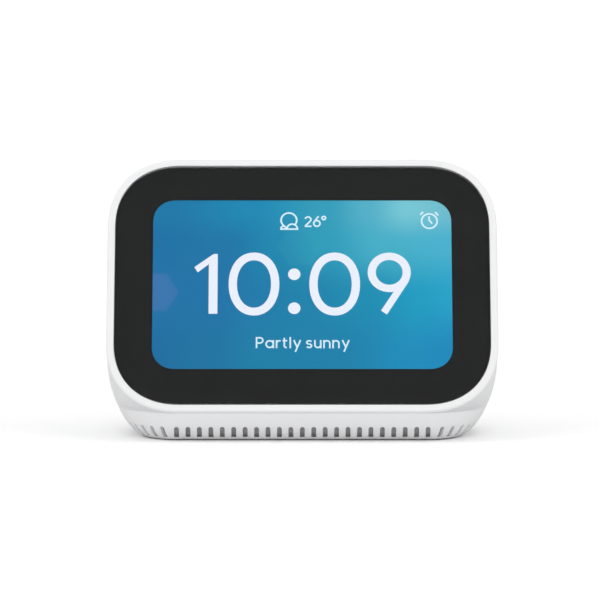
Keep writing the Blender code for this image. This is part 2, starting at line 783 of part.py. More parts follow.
def button(flange_low, flange_top):
    """A long round-ended cap on a wider flange that stops it from inside."""
    soft = 0.35 * mm
    shape = [(-flange_width, flange_low), (-flange_width, flange_top), (0, flange_top), (0, button_proud - soft),
             (soft * 0.3, button_proud - soft * 0.3), (soft, button_proud)]
    rings = []
    for inset, z in shape:
        half_x, half_y = button_length / 2 - inset, button_width / 2 - inset
        rings.append(at_height(outline(half_x, half_y, half_y, 2.0, 6), z))
    return skin(rings)


# ---- chassis and speaker --------------------------------------------------------------------
basket_low = chassis_low + chassis_thick + clearance
flange_high = basket_low + 1.2 * mm
basket_floor = basket_low + 8.6 * mm
magnet_low = basket_floor + clearance
magnet_high = magnet_low + magnet_thick
yoke_low = magnet_high + clearance


def chassis(finish):
    """The flat carrier that the speaker and the base screws clamp to."""
    half_y = (chassis_rear - chassis_front) / 2
    centre = (0, (chassis_rear + chassis_front) / 2)
    made = add("inner_chassis", plate(chassis_width / 2, half_y, chassis_low, chassis_low + chassis_thick,
                                      9 * mm, 0.3 * mm, centre, steps=6), finish)
    holes = peg(surround_radius + 1 * mm, chassis_low - 1 * mm, basket_low, (0, speaker_y), 32)
    for place in post_places():
        peg(long_screw_radius + clearance, chassis_low - 1 * mm, basket_low, place, 12, holes)
    boolean(made, holes)


def speaker(finish):
    """A round driver that faces down: basket, cone with coil and dust cap, surround, magnet and yoke."""
    at = {"location": (0, speaker_y, 0)}
    gap = clearance
    profile = [(surround_radius + gap, basket_low), (flange_radius, basket_low), (flange_radius, flange_high),
               (magnet_radius + 1.8 * mm, basket_floor), (coil_radius + 1.4 * mm, basket_floor),
               (coil_radius + 1.4 * mm, basket_floor - 0.8 * mm), (magnet_radius + 1.2 * mm, basket_floor - 0.8 * mm),
               (surround_radius + 2 * gap, flange_high)]
    add("speaker_basket", turned(profile), finish["steel"], **at)

    thick = 0.35 * mm
    cone_low = basket_low + 0.6 * mm
    cone_high = cone_low + 3.6 * mm
    profile = [(cone_radius, cone_low), (cone_radius, cone_low + thick), (coil_radius + 0.9 * mm, cone_high + thick),
               (coil_radius + 0.2 * mm, cone_high + thick), (coil_radius + 0.2 * mm, cone_high)]
    add("speaker_cone", turned(profile), finish["paper"], **at)

    roll = [(surround_radius, cone_low), (cone_radius + gap, cone_low)]
    middle, half = (roll[0][0] + roll[1][0]) / 2, (roll[0][0] - roll[1][0]) / 2
    under = [(middle + half * cos(pi * i / 6), cone_low - 0.9 * half * sin(pi * i / 6)) for i in range(7)]
    over = [(middle + (half - thick) * cos(pi * i / 6), cone_low + thick - 0.9 * half * sin(pi * i / 6))
            for i in range(6, -1, -1)]
    add("speaker_surround", turned(under + over), finish["rubber"], **at)

    cap_radius = coil_radius - 0.1 * mm
    cap_outer = [(cap_radius * sin(pi / 2 * i / 4), cone_high - gap - 1.6 * mm * cos(pi / 2 * i / 4))
                 for i in range(5)]
    cap_inner = [((cap_radius - thick) * sin(pi / 2 * i / 4),
                  cone_high - gap + thick * 0.5 - (1.6 * mm - thick * 0.5) * cos(pi / 2 * i / 4)) for i in range(4, -1, -1)]
    add("dust_cap", turned(cap_outer + cap_inner, steps=24), finish["cap"], **at)

    coil_low = cone_high + thick + gap
    add("voice_coil", tube(coil_radius + 0.5 * mm, coil_radius, coil_low, magnet_low + 3.4 * mm, steps=24),
        finish["copper"], **at)
    add("speaker_magnet", tube(magnet_radius, coil_radius + 1.1 * mm, magnet_low, magnet_high, steps=32),
        finish["ferrite"], **at)
    profile = [(0, magnet_low - 1 * mm), (coil_radius - 0.5 * mm, magnet_low - 1 * mm), (coil_radius - 0.5 * mm, yoke_low),
               (magnet_radius - 1 * mm, yoke_low), (magnet_radius - 1 * mm, yoke_low + 1.4 * mm), (0, yoke_low + 1.4 * mm)]
    add("speaker_yoke", turned(profile), finish["steel"], **at)

    low, top = basket_low, basket_low + box_height
    profile = [(box_radius - box_wall, low), (box_radius, low), (box_radius, flange_high + 0.8 * mm),
               (box_top_radius, top - 1 * mm), (box_top_radius - 1 * mm, top), (0, top), (0, top - box_wall),
               (box_top_radius - 1 * mm - box_wall * 0.5, top - box_wall),
               (box_radius - box_wall, flange_high + 0.8 * mm)]
    box = add("speaker_box", closed_turn(profile), finish["black"], **at)
    boolean(box, lead_hole_guide())


def closed_turn(profile):
    """A turned cup whose profile touches the axis twice in the middle of its list."""
    first = next(i for i, (r, z) in enumerate(profile) if r == 0)
    return turned(profile[first + 1:] + profile[:first + 1])


# ---- rear board, mute switch and power socket ------------------------------------------------
def rear_frame(y):
    """A frame whose x runs to the left, y up and z out of the rear, at depth y."""
    return Matrix.Translation((0, y, 0)) @ Matrix.Rotation(pi, 4, "Z") @ Matrix.Rotation(pi / 2, 4, "X")


def rear_screw_places():
    return [(-rear_screw_x, rear_screw_z), (rear_screw_x, rear_screw_z)]


def rear_controls(finish):
    centre = (0, (rear_board_low + rear_board_high) / 2)
    board_bm = plate(rear_board_width / 2, (rear_board_high - rear_board_low) / 2, 0, board_thick, centre=centre)
    board = add("rear_board", turn(board_bm, rear_frame(rear_board_y)), finish["board"])
    holes = bmesh.new()
    for place in rear_screw_places():
        peg(screw_radius + clearance, -1 * mm, board_thick + 1 * mm, place, 8, holes)
    boolean(board, turn(holes, rear_frame(rear_board_y)))

    face_y = rear_board_y + board_thick + clearance
    skin_y = rear_y(switch_z)
    body_depth_y = 5.0 * mm
    switch = add("mute_switch", block((-6 * mm, face_y, switch_z - 2.5 * mm),
                                      (6 * mm, face_y + body_depth_y, switch_z + 2.5 * mm)), finish["steel"])
    half_run = switch_travel / 2 + 1.2 * mm + clearance
    boolean(switch, block((-half_run, face_y + 2 * mm, switch_z - 1.1 * mm),
                          (half_run, face_y + body_depth_y + 1 * mm, switch_z + 1.1 * mm)))
    rest = switch_travel / 2                       # the knob rests at one end of its travel
    add("mute_switch_lever", block((rest - 1.2 * mm, face_y + 2.4 * mm, switch_z - 0.8 * mm),
                                   (rest + 1.2 * mm, skin_y - wall - 1.8 * mm, switch_z + 0.8 * mm)), finish["chip"])
    knob_back = wall + 1.5 * mm
    flange = pill(knob_width + 3 * mm, knob_height + 2 * mm, -knob_back, -wall - 0.5 * mm)
    knob = add("mute_knob", turn(flange, rear_frame(skin_y) @ Matrix.Translation((-rest, switch_z, 0))), finish["orange"])
    cap = pill(knob_width, knob_height, -knob_back + 0.3 * mm, knob_proud)
    boolean(knob, turn(cap, rear_frame(skin_y) @ Matrix.Translation((-rest, switch_z, 0))), "UNION")

    half = jack_size / 2
    mouth = rear_y(jack_z - half) - wall - clearance
    jack = add("dc_jack", block((-half, face_y, jack_z - half), (half, mouth, jack_z + half)), finish["black"])
    bore = peg(jack_bore_radius, -(mouth - face_y) + 1.5 * mm, 1 * mm, (0, jack_z), 24)
    boolean(jack, turn(bore, rear_frame(mouth)))
    pin_length = mouth - face_y - 1.5 * mm - clearance
    pin = turned([(0, -pin_length), (jack_pin_radius, -pin_length), (jack_pin_radius, -jack_pin_recess - 0.4 * mm),
                  (jack_pin_radius - 0.4 * mm, -jack_pin_recess), (0, -jack_pin_recess)], (0, jack_z), 16)
    add("jack_pin", turn(pin, rear_frame(mouth)), finish["chrome"])


# ---- flexible cables, leads and antenna -----------------------------------------------------
def flat_cables(finish):
    """Ribbons that lie in a plane across x: display to main board, and the two small boards to it."""
    low = -screen_height / 2 - panel_border
    board_low = board_rise - board_height / 2
    route = [(low + 6 * mm, -bracket_back - 1.2 * mm, 0), (low + 12 * mm, -bracket_back - 1.2 * mm, 0),
             (low + 20 * mm, -bracket_back - 2.6 * mm, 0), (board_low + 2 * mm, -board_front + 1 * mm, 0)]
    points = [(p.x, p.y) for p in curve_through(route, 4)]
    add("display_flex", strip(points, 12 * mm, ribbon_thick), finish, face, (-18 * mm, 0, 0))

    board_top = face.matrix_world @ Vector((0, board_rise + board_height / 2, -board_back))
    start = (rear_board_y - 0.8 * mm, rear_board_high - 1.5 * mm, 0)
    end = (board_top.y + 1.2 * mm, board_top.z + 1.2 * mm, 0)
    route = [start, (start[0] - 3 * mm, start[1] + 6 * mm, 0), (end[0] + 4 * mm, end[1] - 1 * mm, 0), end]
    points = [(p.x, p.y) for p in curve_through(route, 4)]
    add("rear_ribbon", strip(points, 8 * mm, ribbon_thick), finish, location=(6 * mm, 0, 0))

    under_top = crown.matrix_world @ Vector((0, 0, top_board_top - board_thick - 0.8 * mm))
    end = (board_top.y + 0.4 * mm, board_top.z + 1.0 * mm, 0)
    route = [(under_top.y, under_top.z, 0), (under_top.y - 1.5 * mm, under_top.z - 1.0 * mm, 0), end]
    points = [(p.x, p.y) for p in curve_through(route, 4)]
    add("top_ribbon", strip(points, 8 * mm, ribbon_thick), finish, location=(-20 * mm, 0, 0))


def speaker_leads(finish):
    """Two wires from the driver, out through the box, to the lower edge of the main board."""
    board_low = face.matrix_world @ Vector((0, board_rise - board_height / 2, -board_front))
    level = basket_low + 4 * mm
    for name, side in (("red", -1), ("black", 1)):
        y = speaker_y + side * lead_spacing / 2
        route = [(-flange_radius + 0.6 * mm, y, level), (-box_radius - 0.5 * mm, y, level),
                 (-box_radius - 2.5 * mm, y, level), (-box_radius - 6 * mm, y - 1 * mm, level + 5 * mm),
                 (-box_radius - 7 * mm, y - 4 * mm, level + 13 * mm),
                 (-box_radius - 5 * mm, board_low.y + side * lead_spacing / 2, board_low.z - 2 * lead_end_gap),
                 (-box_radius - 4 * mm, board_low.y + side * lead_spacing / 2, board_low.z - lead_end_gap)]
        lead(f"speaker_lead_{name}", route, lead_diameter, finish[name])


def lead_hole_guide():
    bm = bmesh.new()
    for side in (-1, 1):
        y = speaker_y + side * lead_spacing / 2
        peg(lead_diameter / 2 + clearance, 0, 6 * mm, steps=10, bm=bm)
        fresh = [v for v in bm.verts if not v.tag]
        place = Matrix.Translation((2 * mm - flange_radius, y, basket_low + 4 * mm)) @ Matrix.Rotation(-pi / 2, 4, "Y")
        bmesh.ops.transform(bm, matrix=place, verts=fresh)
        for v in bm.verts:
            v.tag = True
    return bm


def antenna(finish):
    """A thin antenna film that stands along the left wall."""
    low, high, front, rear = 38 * mm, 50 * mm, -6 * mm, 8 * mm
    x = -(min(side_x(rear, low), side_x(rear, high)) - wall - 2 * clearance)
    add("wifi_antenna", block((x, front, low), (x + 0.4 * mm, rear, high)), finish)


# ---- the whole object -----------------------------------------------------------------------
remove_everything()
face_centre = (0, lip_y + face_height / 2 * lean_sin, lip_height + face_height / 2 * lean_cos)
face = empty("face_frame", Matrix.Translation(face_centre) @ Matrix.Rotation(pi / 2 - face_lean, 4, "X"))
crown_y = plane_y(shell_top) + crown_depth * 0.52
crown_z = shell_top - crown_slope * (crown_y - plane_y(shell_top))
crown = empty("crown_frame", Matrix.Translation((0, crown_y, crown_z)) @ Matrix.Rotation(-crown_angle, 4, "X"))

finishes = {
    "white": material("white_plastic", (0.86, 0.86, 0.86), 0.42),
    "glass": material("cover_glass", (0.02, 0.02, 0.02), 0.08),
    "panel": material("display_panel", (0.05, 0.2, 0.3), 0.3),
    "foam": material("black_foam", (0.02, 0.02, 0.02), 0.95),
    "rubber": material("grey_rubber", (0.08, 0.08, 0.085), 0.8),
    "black": material("black_plastic", (0.03, 0.03, 0.03), 0.5),
    "steel": material("plated_steel", (0.62, 0.62, 0.62), 0.35, 1.0),
    "aluminium": material("aluminium", (0.78, 0.79, 0.8), 0.4, 1.0),
    "chrome": material("bright_metal", (0.8, 0.8, 0.8), 0.15, 1.0),
    "board": material("circuit_board", (0.02, 0.16, 0.08), 0.45),
    "chip": material("black_epoxy", (0.02, 0.02, 0.022), 0.5),
    "pad": material("thermal_pad", (0.45, 0.5, 0.6), 0.8),
    "paper": material("cone_paper", (0.05, 0.05, 0.05), 0.9),
    "cap": material("cap_film", (0.04, 0.04, 0.045), 0.35),
    "copper": material("copper_wire", (0.72, 0.35, 0.18), 0.35, 1.0),
    "ferrite": material("ferrite", (0.06, 0.06, 0.065), 0.6),
    "flex": material("amber_film", (0.55, 0.27, 0.04), 0.4),
    "orange": material("orange_plastic", (0.85, 0.25, 0.05), 0.45),
    "red": material("red_insulation", (0.6, 0.02, 0.02), 0.5),
}

rear_shell(finishes["white"])
front_frame(finishes["white"])
display_stack(finishes)
display_bracket(finishes["steel"])
screws("display_screw", frame_post_places(), -bracket_back - clearance, bracket_back - ledge_back - clearance,
       finishes["steel"], face, True)
main_board(finishes)
screws("board_screw", board_post_places(), -board_back - clearance, 4.0 * mm, finishes["steel"], face, True)
top_controls(finishes)
screws("top_screw", top_screw_places(), top_board_top - board_thick - clearance, 3.6 * mm, finishes["steel"],
       crown, True)
chassis(finishes["black"])
speaker(finishes)
rear_controls(finishes)
base_plate(finishes["black"])
rubber_foot(finishes["rubber"])
base_screws(finishes["steel"])
flat_cables(finishes["flex"])
speaker_leads(finishes)
antenna(finishes["flex"])
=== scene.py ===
from math import asin, atan, cos, pi, radians, sin, sqrt

import bmesh
import bpy
from mathutils import Matrix, Vector


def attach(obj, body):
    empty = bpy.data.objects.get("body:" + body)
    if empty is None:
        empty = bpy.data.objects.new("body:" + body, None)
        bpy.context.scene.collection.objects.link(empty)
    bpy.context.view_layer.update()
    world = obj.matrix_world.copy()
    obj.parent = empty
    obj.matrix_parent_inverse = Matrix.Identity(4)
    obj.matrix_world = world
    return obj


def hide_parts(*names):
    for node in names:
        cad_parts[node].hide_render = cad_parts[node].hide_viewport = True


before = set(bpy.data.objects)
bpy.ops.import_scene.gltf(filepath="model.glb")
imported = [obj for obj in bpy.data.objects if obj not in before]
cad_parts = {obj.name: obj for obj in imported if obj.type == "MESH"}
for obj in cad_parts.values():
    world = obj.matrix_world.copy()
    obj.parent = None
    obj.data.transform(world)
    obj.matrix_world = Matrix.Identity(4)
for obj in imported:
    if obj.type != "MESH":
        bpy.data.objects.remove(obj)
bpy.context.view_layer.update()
mm = 0.001
capBand, weldDistance = 0.04 * mm, 1e-6
collection = bpy.context.scene.collection
print("frame loaded with", len(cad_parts), "CAD nodes")


# mesh tools

def loft(bm, rings, ends="capped"):
    # one closed ring is extruded from place to place; its ends are capped, or joined to each other
    step = bm.verts.layers.int.get("step") or bm.verts.layers.int.new("step")
    verts = bmesh.ops.create_circle(bm, segments=len(rings[0]), radius=1.0)["verts"]
    for number, (vert, place) in enumerate(zip(verts, rings[0])):
        vert.co, vert[step] = place, number
    first = loop = loopThrough(verts)
    for ring in rings[1:]:
        made = bmesh.ops.extrude_edge_only(bm, edges=loop)["geom"]
        verts = [item for item in made if isinstance(item, bmesh.types.BMVert)]
        for vert in verts:
            vert.co = ring[vert[step]]
        loop = loopThrough(verts)
    if ends == "capped":
        for edges in (first, loop):   # a narrow band inside each cap keeps its middle flat to the light
            cap = bmesh.ops.edgeloop_fill(bm, edges=edges)["faces"]
            bmesh.ops.inset_region(bm, faces=cap, thickness=capBand)
            bmesh.ops.triangulate(bm, faces=cap)
    else:
        bmesh.ops.bridge_loops(bm, edges=first + loop)
    return bm


def loopThrough(verts):
    inside = set(verts)
    return list(dict.fromkeys(e for v in verts for e in v.link_edges if e.other_vert(v) in inside))


def spun(bm, profile, place=(0, 0, 0), steps=48):
    # a closed profile of (radius, height), which may touch the axis, spun all the way round
    known = set(bm.verts)
    verts = [bm.verts.new((radius, 0, height)) for radius, height in profile]
    edges = [bm.edges.new(pair) for pair in zip(verts, verts[1:])]
    if all(radius > 0 for radius, height in profile):
        edges.append(bm.edges.new((verts[-1], verts[0])))
    bmesh.ops.spin(bm, geom=verts + edges, axis=(0, 0, 1), cent=(0, 0, 0), angle=2 * pi, steps=steps, use_merge=True)
    fresh = [v for v in bm.verts if v not in known]
    bmesh.ops.remove_doubles(bm, verts=fresh, dist=1e-7)
    bmesh.ops.translate(bm, verts=[v for v in bm.verts if v not in known], vec=place)
    return bm


def flatShape(bm, points, low, high):
    # a flat outline from a few points, given a thickness
    face = bm.faces.new([bm.verts.new((x, y, low)) for x, y in points])
    top = bmesh.ops.extrude_face_region(bm, geom=[face])["geom"]
    bmesh.ops.translate(bm, verts=[v for v in top if isinstance(v, bmesh.types.BMVert)], vec=(0, 0, high - low))
    return bm


def softRectangle(halfX, halfY, reach, power=2.0, steps=16, centre=(0, 0)):
    # anticlockwise, with corners that may be squarer than a circle
    quarter = []
    for number in range(steps + 1):
        c, s = cos(pi / 2 * number / steps), sin(pi / 2 * number / steps)
        scale = reach / (abs(c) ** power + abs(s) ** power) ** (1 / power)
        quarter.append((halfX - reach + c * scale, halfY - reach + s * scale))
    mirrored = [(-x, y) for x, y in reversed(quarter)]
    around = quarter + mirrored + [(-x, -y) for x, y in quarter + mirrored]
    return [(x + centre[0], y + centre[1]) for x, y in around]


def raised(points, height):
    return [(x, y, height) for x, y in points]


def turned(bm, matrix):
    bmesh.ops.transform(bm, matrix=matrix, verts=bm.verts[:])
    return bm


def shadeSoftly(mesh, sharp=35):
    mesh.shade_smooth()
    mesh.set_sharp_from_angle(angle=radians(sharp))


def inOrder(parts, key):
    # the operators leave parts in an order that varies from run to run
    rank = {part: number for number, part in enumerate(sorted(parts, key=key))}
    parts.sort(key=rank.get)
    parts.index_update()


def addPiece(name, bm, material, sharp=35):
    bmesh.ops.recalc_face_normals(bm, faces=bm.faces[:])
    inOrder(bm.verts, lambda vert: tuple(vert.co))
    inOrder(bm.faces, lambda face: sorted(vert.index for vert in face.verts))
    mesh = bpy.data.meshes.new(name)
    bm.to_mesh(mesh)
    bm.free()
    mesh.materials.append(material)
    shadeSoftly(mesh, sharp)
    piece = bpy.data.objects.new(name, mesh)
    collection.objects.link(piece)
    return piece


def cut(piece, cutterMesh, operation="DIFFERENCE"):
    # one Boolean step, applied at once
    cutter = addPiece("cutter", cutterMesh, piece.data.materials[0])
    step = piece.modifiers.new("cut", "BOOLEAN")
    step.operation, step.solver, step.object = operation, "EXACT", cutter
    graph = bpy.context.evaluated_depsgraph_get()
    piece.data = bpy.data.meshes.new_from_object(piece.evaluated_get(graph))
    piece.modifiers.clear()
    bpy.data.objects.remove(cutter)
    bm = bmesh.new()
    bm.from_mesh(piece.data)
    bmesh.ops.remove_doubles(bm, verts=bm.verts[:], dist=weldDistance)   # the next cut needs whole edges
    bm.to_mesh(piece.data)
    bm.free()
    shadeSoftly(piece.data)
    return piece


def seat(piece, body, nodes=()):
    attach(piece, body)
    if nodes:
        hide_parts(*nodes)
    return piece


# material tools

def linear(red, green, blue):
    return tuple((c / 255 / 12.92) if c <= 10 else ((c / 255 + 0.055) / 1.055) ** 2.4 for c in (red, green, blue))


def newMaterial(name):
    material = bpy.data.materials.new(name)
    material.use_nodes = True
    return material, material.node_tree, material.node_tree.nodes["Principled BSDF"]


def wire(tree, kind, values=None, **links):
    # one node with its settings and incoming links; a trailing number in a name picks the input
    made = tree.nodes.new(kind)
    for name, value in (values or {}).items():
        if hasattr(made, name):
            setattr(made, name, value)
        else:
            made.inputs[name].default_value = value
    for name, source in links.items():
        key = int(name[5:]) if name.startswith("input") else name.replace("_", " ")
        tree.links.new(source, made.inputs[key])
    return made


def mixed(tree, factor, low, high):
    # one colour passes into another; each is three numbers or a link
    mix = wire(tree, "ShaderNodeMix", {"data_type": "RGBA"}, input0=factor)
    for socket, value in ((mix.inputs[6], low), (mix.inputs[7], high)):
        if isinstance(value, bpy.types.NodeSocket):
            tree.links.new(value, socket)
        else:
            socket.default_value = (*value, 1)
    return mix.outputs[2]


def mapped(tree, value, fromLow, fromHigh, low=0.0, high=1.0, kind="LINEAR"):
    settings = {"interpolation_type": kind, "From Min": fromLow, "From Max": fromHigh, "To Min": low, "To Max": high}
    return wire(tree, "ShaderNodeMapRange", settings, Value=value).outputs[0]


def finishOf(name, look):
    # plastics, metals and papers share this: a mottled colour, an uneven gloss and a fine relief
    material, tree, shader = newMaterial(name)
    place = wire(tree, "ShaderNodeTexCoord").outputs["Object"]
    grainPlace = wire(tree, "ShaderNodeMapping", {"Scale": look.get("stretch", (1, 1, 1))}, Vector=place).outputs[0]
    if look.get("pattern") == "cells":
        grain = wire(tree, "ShaderNodeTexVoronoi", {"Scale": look["scale"]}, Vector=grainPlace).outputs["Distance"]
    elif look.get("pattern") == "bands":
        grain = wire(tree, "ShaderNodeTexWave", {"bands_direction": "Z", "Scale": look["scale"], "Distortion": 0.4},
                     Vector=grainPlace).outputs["Fac"]
    else:
        grain = wire(tree, "ShaderNodeTexNoise", {"Scale": look["scale"], "Detail": 3.0},
                     Vector=grainPlace).outputs["Fac"]
    cloud = wire(tree, "ShaderNodeTexNoise", {"Scale": 60.0, "Detail": 2.0}, Vector=place).outputs["Fac"]
    mottle = mixed(tree, grain if look.get("pattern") else cloud, look["colour"],
                   look.get("other", [c * 0.94 for c in look["colour"]]))
    tree.links.new(mottle, shader.inputs["Base Color"])
    tree.links.new(mapped(tree, cloud, 0.3, 0.7, *look["rough"]), shader.inputs["Roughness"])
    depth = {"Strength": look.get("relief", 0.2), "Distance": look.get("deep", 0.02) * mm}
    relief = wire(tree, "ShaderNodeBump", depth, Height=grain)
    tree.links.new(relief.outputs[0], shader.inputs["Normal"])
    shader.inputs["Metallic"].default_value = look.get("metal", 0.0)
    shader.inputs["Specular IOR Level"].default_value = look.get("shine", 0.5)
    return material


finishes = {
    "white_plastic": {"colour": (0.86, 0.862, 0.865), "other": (0.84, 0.842, 0.848), "rough": (0.40, 0.50),
        "scale": 5200.0, "relief": 0.12, "deep": 0.012},
    "orange_plastic": {"colour": (0.83, 0.24, 0.05), "rough": (0.38, 0.48), "scale": 5200.0, "relief": 0.15},
    "black_plastic": {"colour": (0.030, 0.030, 0.032), "rough": (0.45, 0.60), "scale": 3800.0, "relief": 0.3},
    "black_foam": {"colour": (0.020, 0.020, 0.021), "other": (0.008, 0.008, 0.008), "rough": (0.9, 1.0),
        "pattern": "cells", "scale": 2600.0, "relief": 0.8, "deep": 0.08},
    "grey_rubber": {"colour": (0.075, 0.076, 0.080), "rough": (0.70, 0.85), "scale": 2400.0, "relief": 0.35,
        "shine": 0.35},
    "plated_steel": {"colour": (0.63, 0.63, 0.64), "rough": (0.26, 0.38), "scale": 1500.0, "stretch": (1, 8, 1),
        "relief": 0.15, "metal": 1.0},
    "aluminium": {"colour": (0.78, 0.79, 0.80), "rough": (0.32, 0.44), "scale": 1200.0, "stretch": (1, 12, 1),
        "relief": 0.18, "metal": 1.0},
    "bright_metal": {"colour": (0.80, 0.80, 0.81), "rough": (0.12, 0.20), "scale": 900.0, "relief": 0.05, "metal": 1.0},
    "circuit_board": {"colour": (0.012, 0.13, 0.06), "other": (0.03, 0.21, 0.10), "rough": (0.38, 0.48),
        "pattern": "cells", "scale": 420.0, "stretch": (1, 1, 0.4), "relief": 0.25, "deep": 0.04},
    "black_epoxy": {"colour": (0.022, 0.022, 0.024), "rough": (0.42, 0.52), "scale": 4200.0, "relief": 0.3},
    "thermal_pad": {"colour": (0.44, 0.50, 0.60), "rough": (0.75, 0.88), "scale": 900.0, "relief": 0.3},
    "cone_paper": {"colour": (0.050, 0.049, 0.047), "other": (0.030, 0.030, 0.029), "rough": (0.85, 0.95),
        "scale": 1400.0, "stretch": (1, 1, 4), "relief": 0.6, "deep": 0.06},
    "copper_wire": {"colour": (0.72, 0.34, 0.17), "other": (0.42, 0.17, 0.08), "rough": (0.30, 0.40),
        "pattern": "bands", "scale": 900.0, "relief": 0.6, "deep": 0.05, "metal": 1.0},
    "ferrite": {"colour": (0.060, 0.060, 0.064), "rough": (0.50, 0.66), "scale": 1800.0, "relief": 0.4},
    "amber_film": {"colour": (0.52, 0.25, 0.035), "other": (0.36, 0.15, 0.02), "rough": (0.25, 0.38),
        "pattern": "bands", "scale": 300.0, "relief": 0.15},
    "red_insulation": {"colour": (0.58, 0.02, 0.02), "rough": (0.40, 0.50), "scale": 1800.0, "relief": 0.15},
    "display_panel": {"colour": (0.014, 0.016, 0.020), "rough": (0.25, 0.32), "scale": 2200.0, "relief": 0.05},
    "printed_ink": {"colour": (0.0215, 0.0215, 0.0217), "rough": (0.60, 0.70), "scale": 3000.0, "relief": 0.0,
        "shine": 0.0},
    "grey_cloth": {"colour": (0.52, 0.52, 0.525), "other": (0.38, 0.38, 0.385), "rough": (0.85, 0.95),
        "pattern": "cells", "scale": 2200.0, "relief": 0.7, "deep": 0.08, "shine": 0.2},
}
materials = {name: finishOf(name, look) for name, look in finishes.items()}
print("finishes made:", len(materials))


# the form that the housing pieces share

form = {
    "width": 112.8 * mm,
    "depth": 68.0 * mm,
    "faceHeight": 77.8 * mm,      # along the leaning face
    "lean": radians(24.6),
    "lipHeight": 9.0 * mm,
    "faceCorner": 21.4 * mm,
    "cornerPower": 2.25,
    "bandDepth": 1.405 * mm,       # the shell starts right behind the front band
    "rimFillet": 0.9 * mm,
    "wall": 2.0 * mm,
    "bowlHeight": 23.0 * mm,
    "bowlInset": 12.5 * mm,
    "frontTuck": 0.80,
    "rearTuck": 0.66,
    "bottom": 0.35 * mm,
    "crownDepth": 15.0 * mm,
    "crownSlope": 0.12,
    "crownBlend": 24.0 * mm,
    "planPower": 2.7,
    "sideShare": 0.18,
    "cornerGrowth": 0.33,
    "baseFlat": 37.8 * mm,
    "baseHeight": 1.0 * mm,
}
leanSin, leanCos = sin(form["lean"]), cos(form["lean"])
lipY = -form["depth"] / 2 - form["rimFillet"] * (leanSin + leanCos - 1)
joinZ = form["lipHeight"] - form["bandDepth"] * leanSin
shellTop = joinZ + form["faceHeight"] * leanCos
faceMiddle = (0, lipY + form["faceHeight"] / 2 * leanSin, form["lipHeight"] + form["faceHeight"] / 2 * leanCos)
faceFrame = Matrix.Translation(faceMiddle) @ Matrix.Rotation(pi / 2 - form["lean"], 4, "X")


def bowlIn(z):
    below = min(max(1 - z / form["bowlHeight"], 0.0), 1.0)
    return form["bowlInset"] * (1 - sqrt(1 - below ** 2))


def planeY(z):
    # the shell's front plane, parallel to the glass
    v = (z - form["lipHeight"] + form["bandDepth"] * leanSin) / leanCos
    return lipY + v * leanSin + form["bandDepth"] * leanCos


def faceHalf(v, inset):
    reach = form["faceCorner"] - inset
    fromEnd = min(v - inset, form["faceHeight"] - inset - v)
    gap = min(max((reach - fromEnd) / reach, 0.0), 1.0)
    return form["width"] / 2 - inset - reach + reach * (1 - gap ** form["cornerPower"]) ** (1 / form["cornerPower"])


def rearY(z):
    if z < form["bowlHeight"]:
        return form["depth"] / 2 - form["rearTuck"] * bowlIn(z)
    crownRear = planeY(shellTop) + form["crownDepth"]
    up = (z - form["bowlHeight"]) / (shellTop - form["bowlHeight"])
    return crownRear + (form["depth"] / 2 - crownRear) * sqrt(max(1 - up ** 2.1, 0.0))


def sectionPlan(z, inset):
    # half width, front, corner radius and the angle at which the front corner starts
    v = (z - joinZ) / leanCos
    half = faceHalf(v, inset) if v > form["faceHeight"] / 2 else form["width"] / 2 - bowlIn(z) - inset
    if z < joinZ:
        flat = form["baseFlat"] - form["cornerGrowth"] * (z - form["baseHeight"])
        return half, planeY(joinZ) + form["frontTuck"] * (bowlIn(z) - bowlIn(joinZ)) + inset, half - flat, 0.0
    flatAtJoin = form["baseFlat"] - form["cornerGrowth"] * (joinZ - form["baseHeight"])
    radius = form["width"] / 2 - bowlIn(joinZ) - flatAtJoin - inset
    overhang = max(half - faceHalf(v, inset), 0.0)
    return half, planeY(z), radius, asin(min(max(1 - overhang / radius, 0.0), 1.0))


def levelSection(z, inset=0.0, back=0.0, frontSteps=12, cornerSteps=14, rearSteps=22):
    # one level outline, anticlockwise from the middle of the front, its crown falling to the rear
    half, front, radius, start = sectionPlan(z, inset)
    front += back
    middle, rear = front + radius * cos(start), rearY(z) - inset
    side = middle + form["sideShare"] * (rear - middle)
    flat = half - radius + radius * sin(start)
    right = [(flat * number / frontSteps, front) for number in range(frontSteps)]
    for number in range(cornerSteps + 1):
        angle = start + (pi / 2 - start) * number / cornerSteps
        spread = 0.7 * form["sideShare"] * (rear - middle) * number / cornerSteps
        right.append((half - radius + radius * sin(angle), middle - radius * cos(angle) + spread))
    for number in range(rearSteps + 1):
        angle = pi / 2 * number / rearSteps
        x = half * cos(angle) ** (2 / form["planPower"]) if number < rearSteps else 0.0
        right.append((x, side + (rear - side) * sin(angle) ** (2 / form["planPower"])))
    around = right + [(-x, y) for x, y in right[-2:0:-1]]
    fade = min(max((z - shellTop + form["crownBlend"]) / form["crownBlend"], 0.0), 1.0)
    fall = form["crownSlope"] * fade * fade * (3 - 2 * fade)
    return [(x, y, z - fall * (y - planeY(z))) for x, y in around]


def shellLevels(inset=0.0, bowlSteps=22, cornerSteps=16, middleSteps=8):
    # close together where the bowl and the face's corners curve most
    bowl = [form["bowlHeight"] * (1 - sin(pi / 2 * number / bowlSteps)) for number in range(bowlSteps + 1)]
    reach = form["faceCorner"] - inset
    ends = [reach * sin(pi / 2 * number / cornerSteps) for number in range(cornerSteps + 1)]
    falling = [shellTop - (inset + reach - end) * leanCos for end in ends]
    rise = falling[0] - form["bowlHeight"]
    middle = [form["bowlHeight"] + rise * number / middleSteps for number in range(1, middleSteps)]
    fixed = [form["bottom"], joinZ, shellTop]
    heights = fixed[:]
    for z in sorted(bowl) + middle + falling:
        if form["bottom"] < z < shellTop and min(abs(z - other) for other in heights) > 0.06 * mm:
            heights.append(z)
    return sorted(heights)


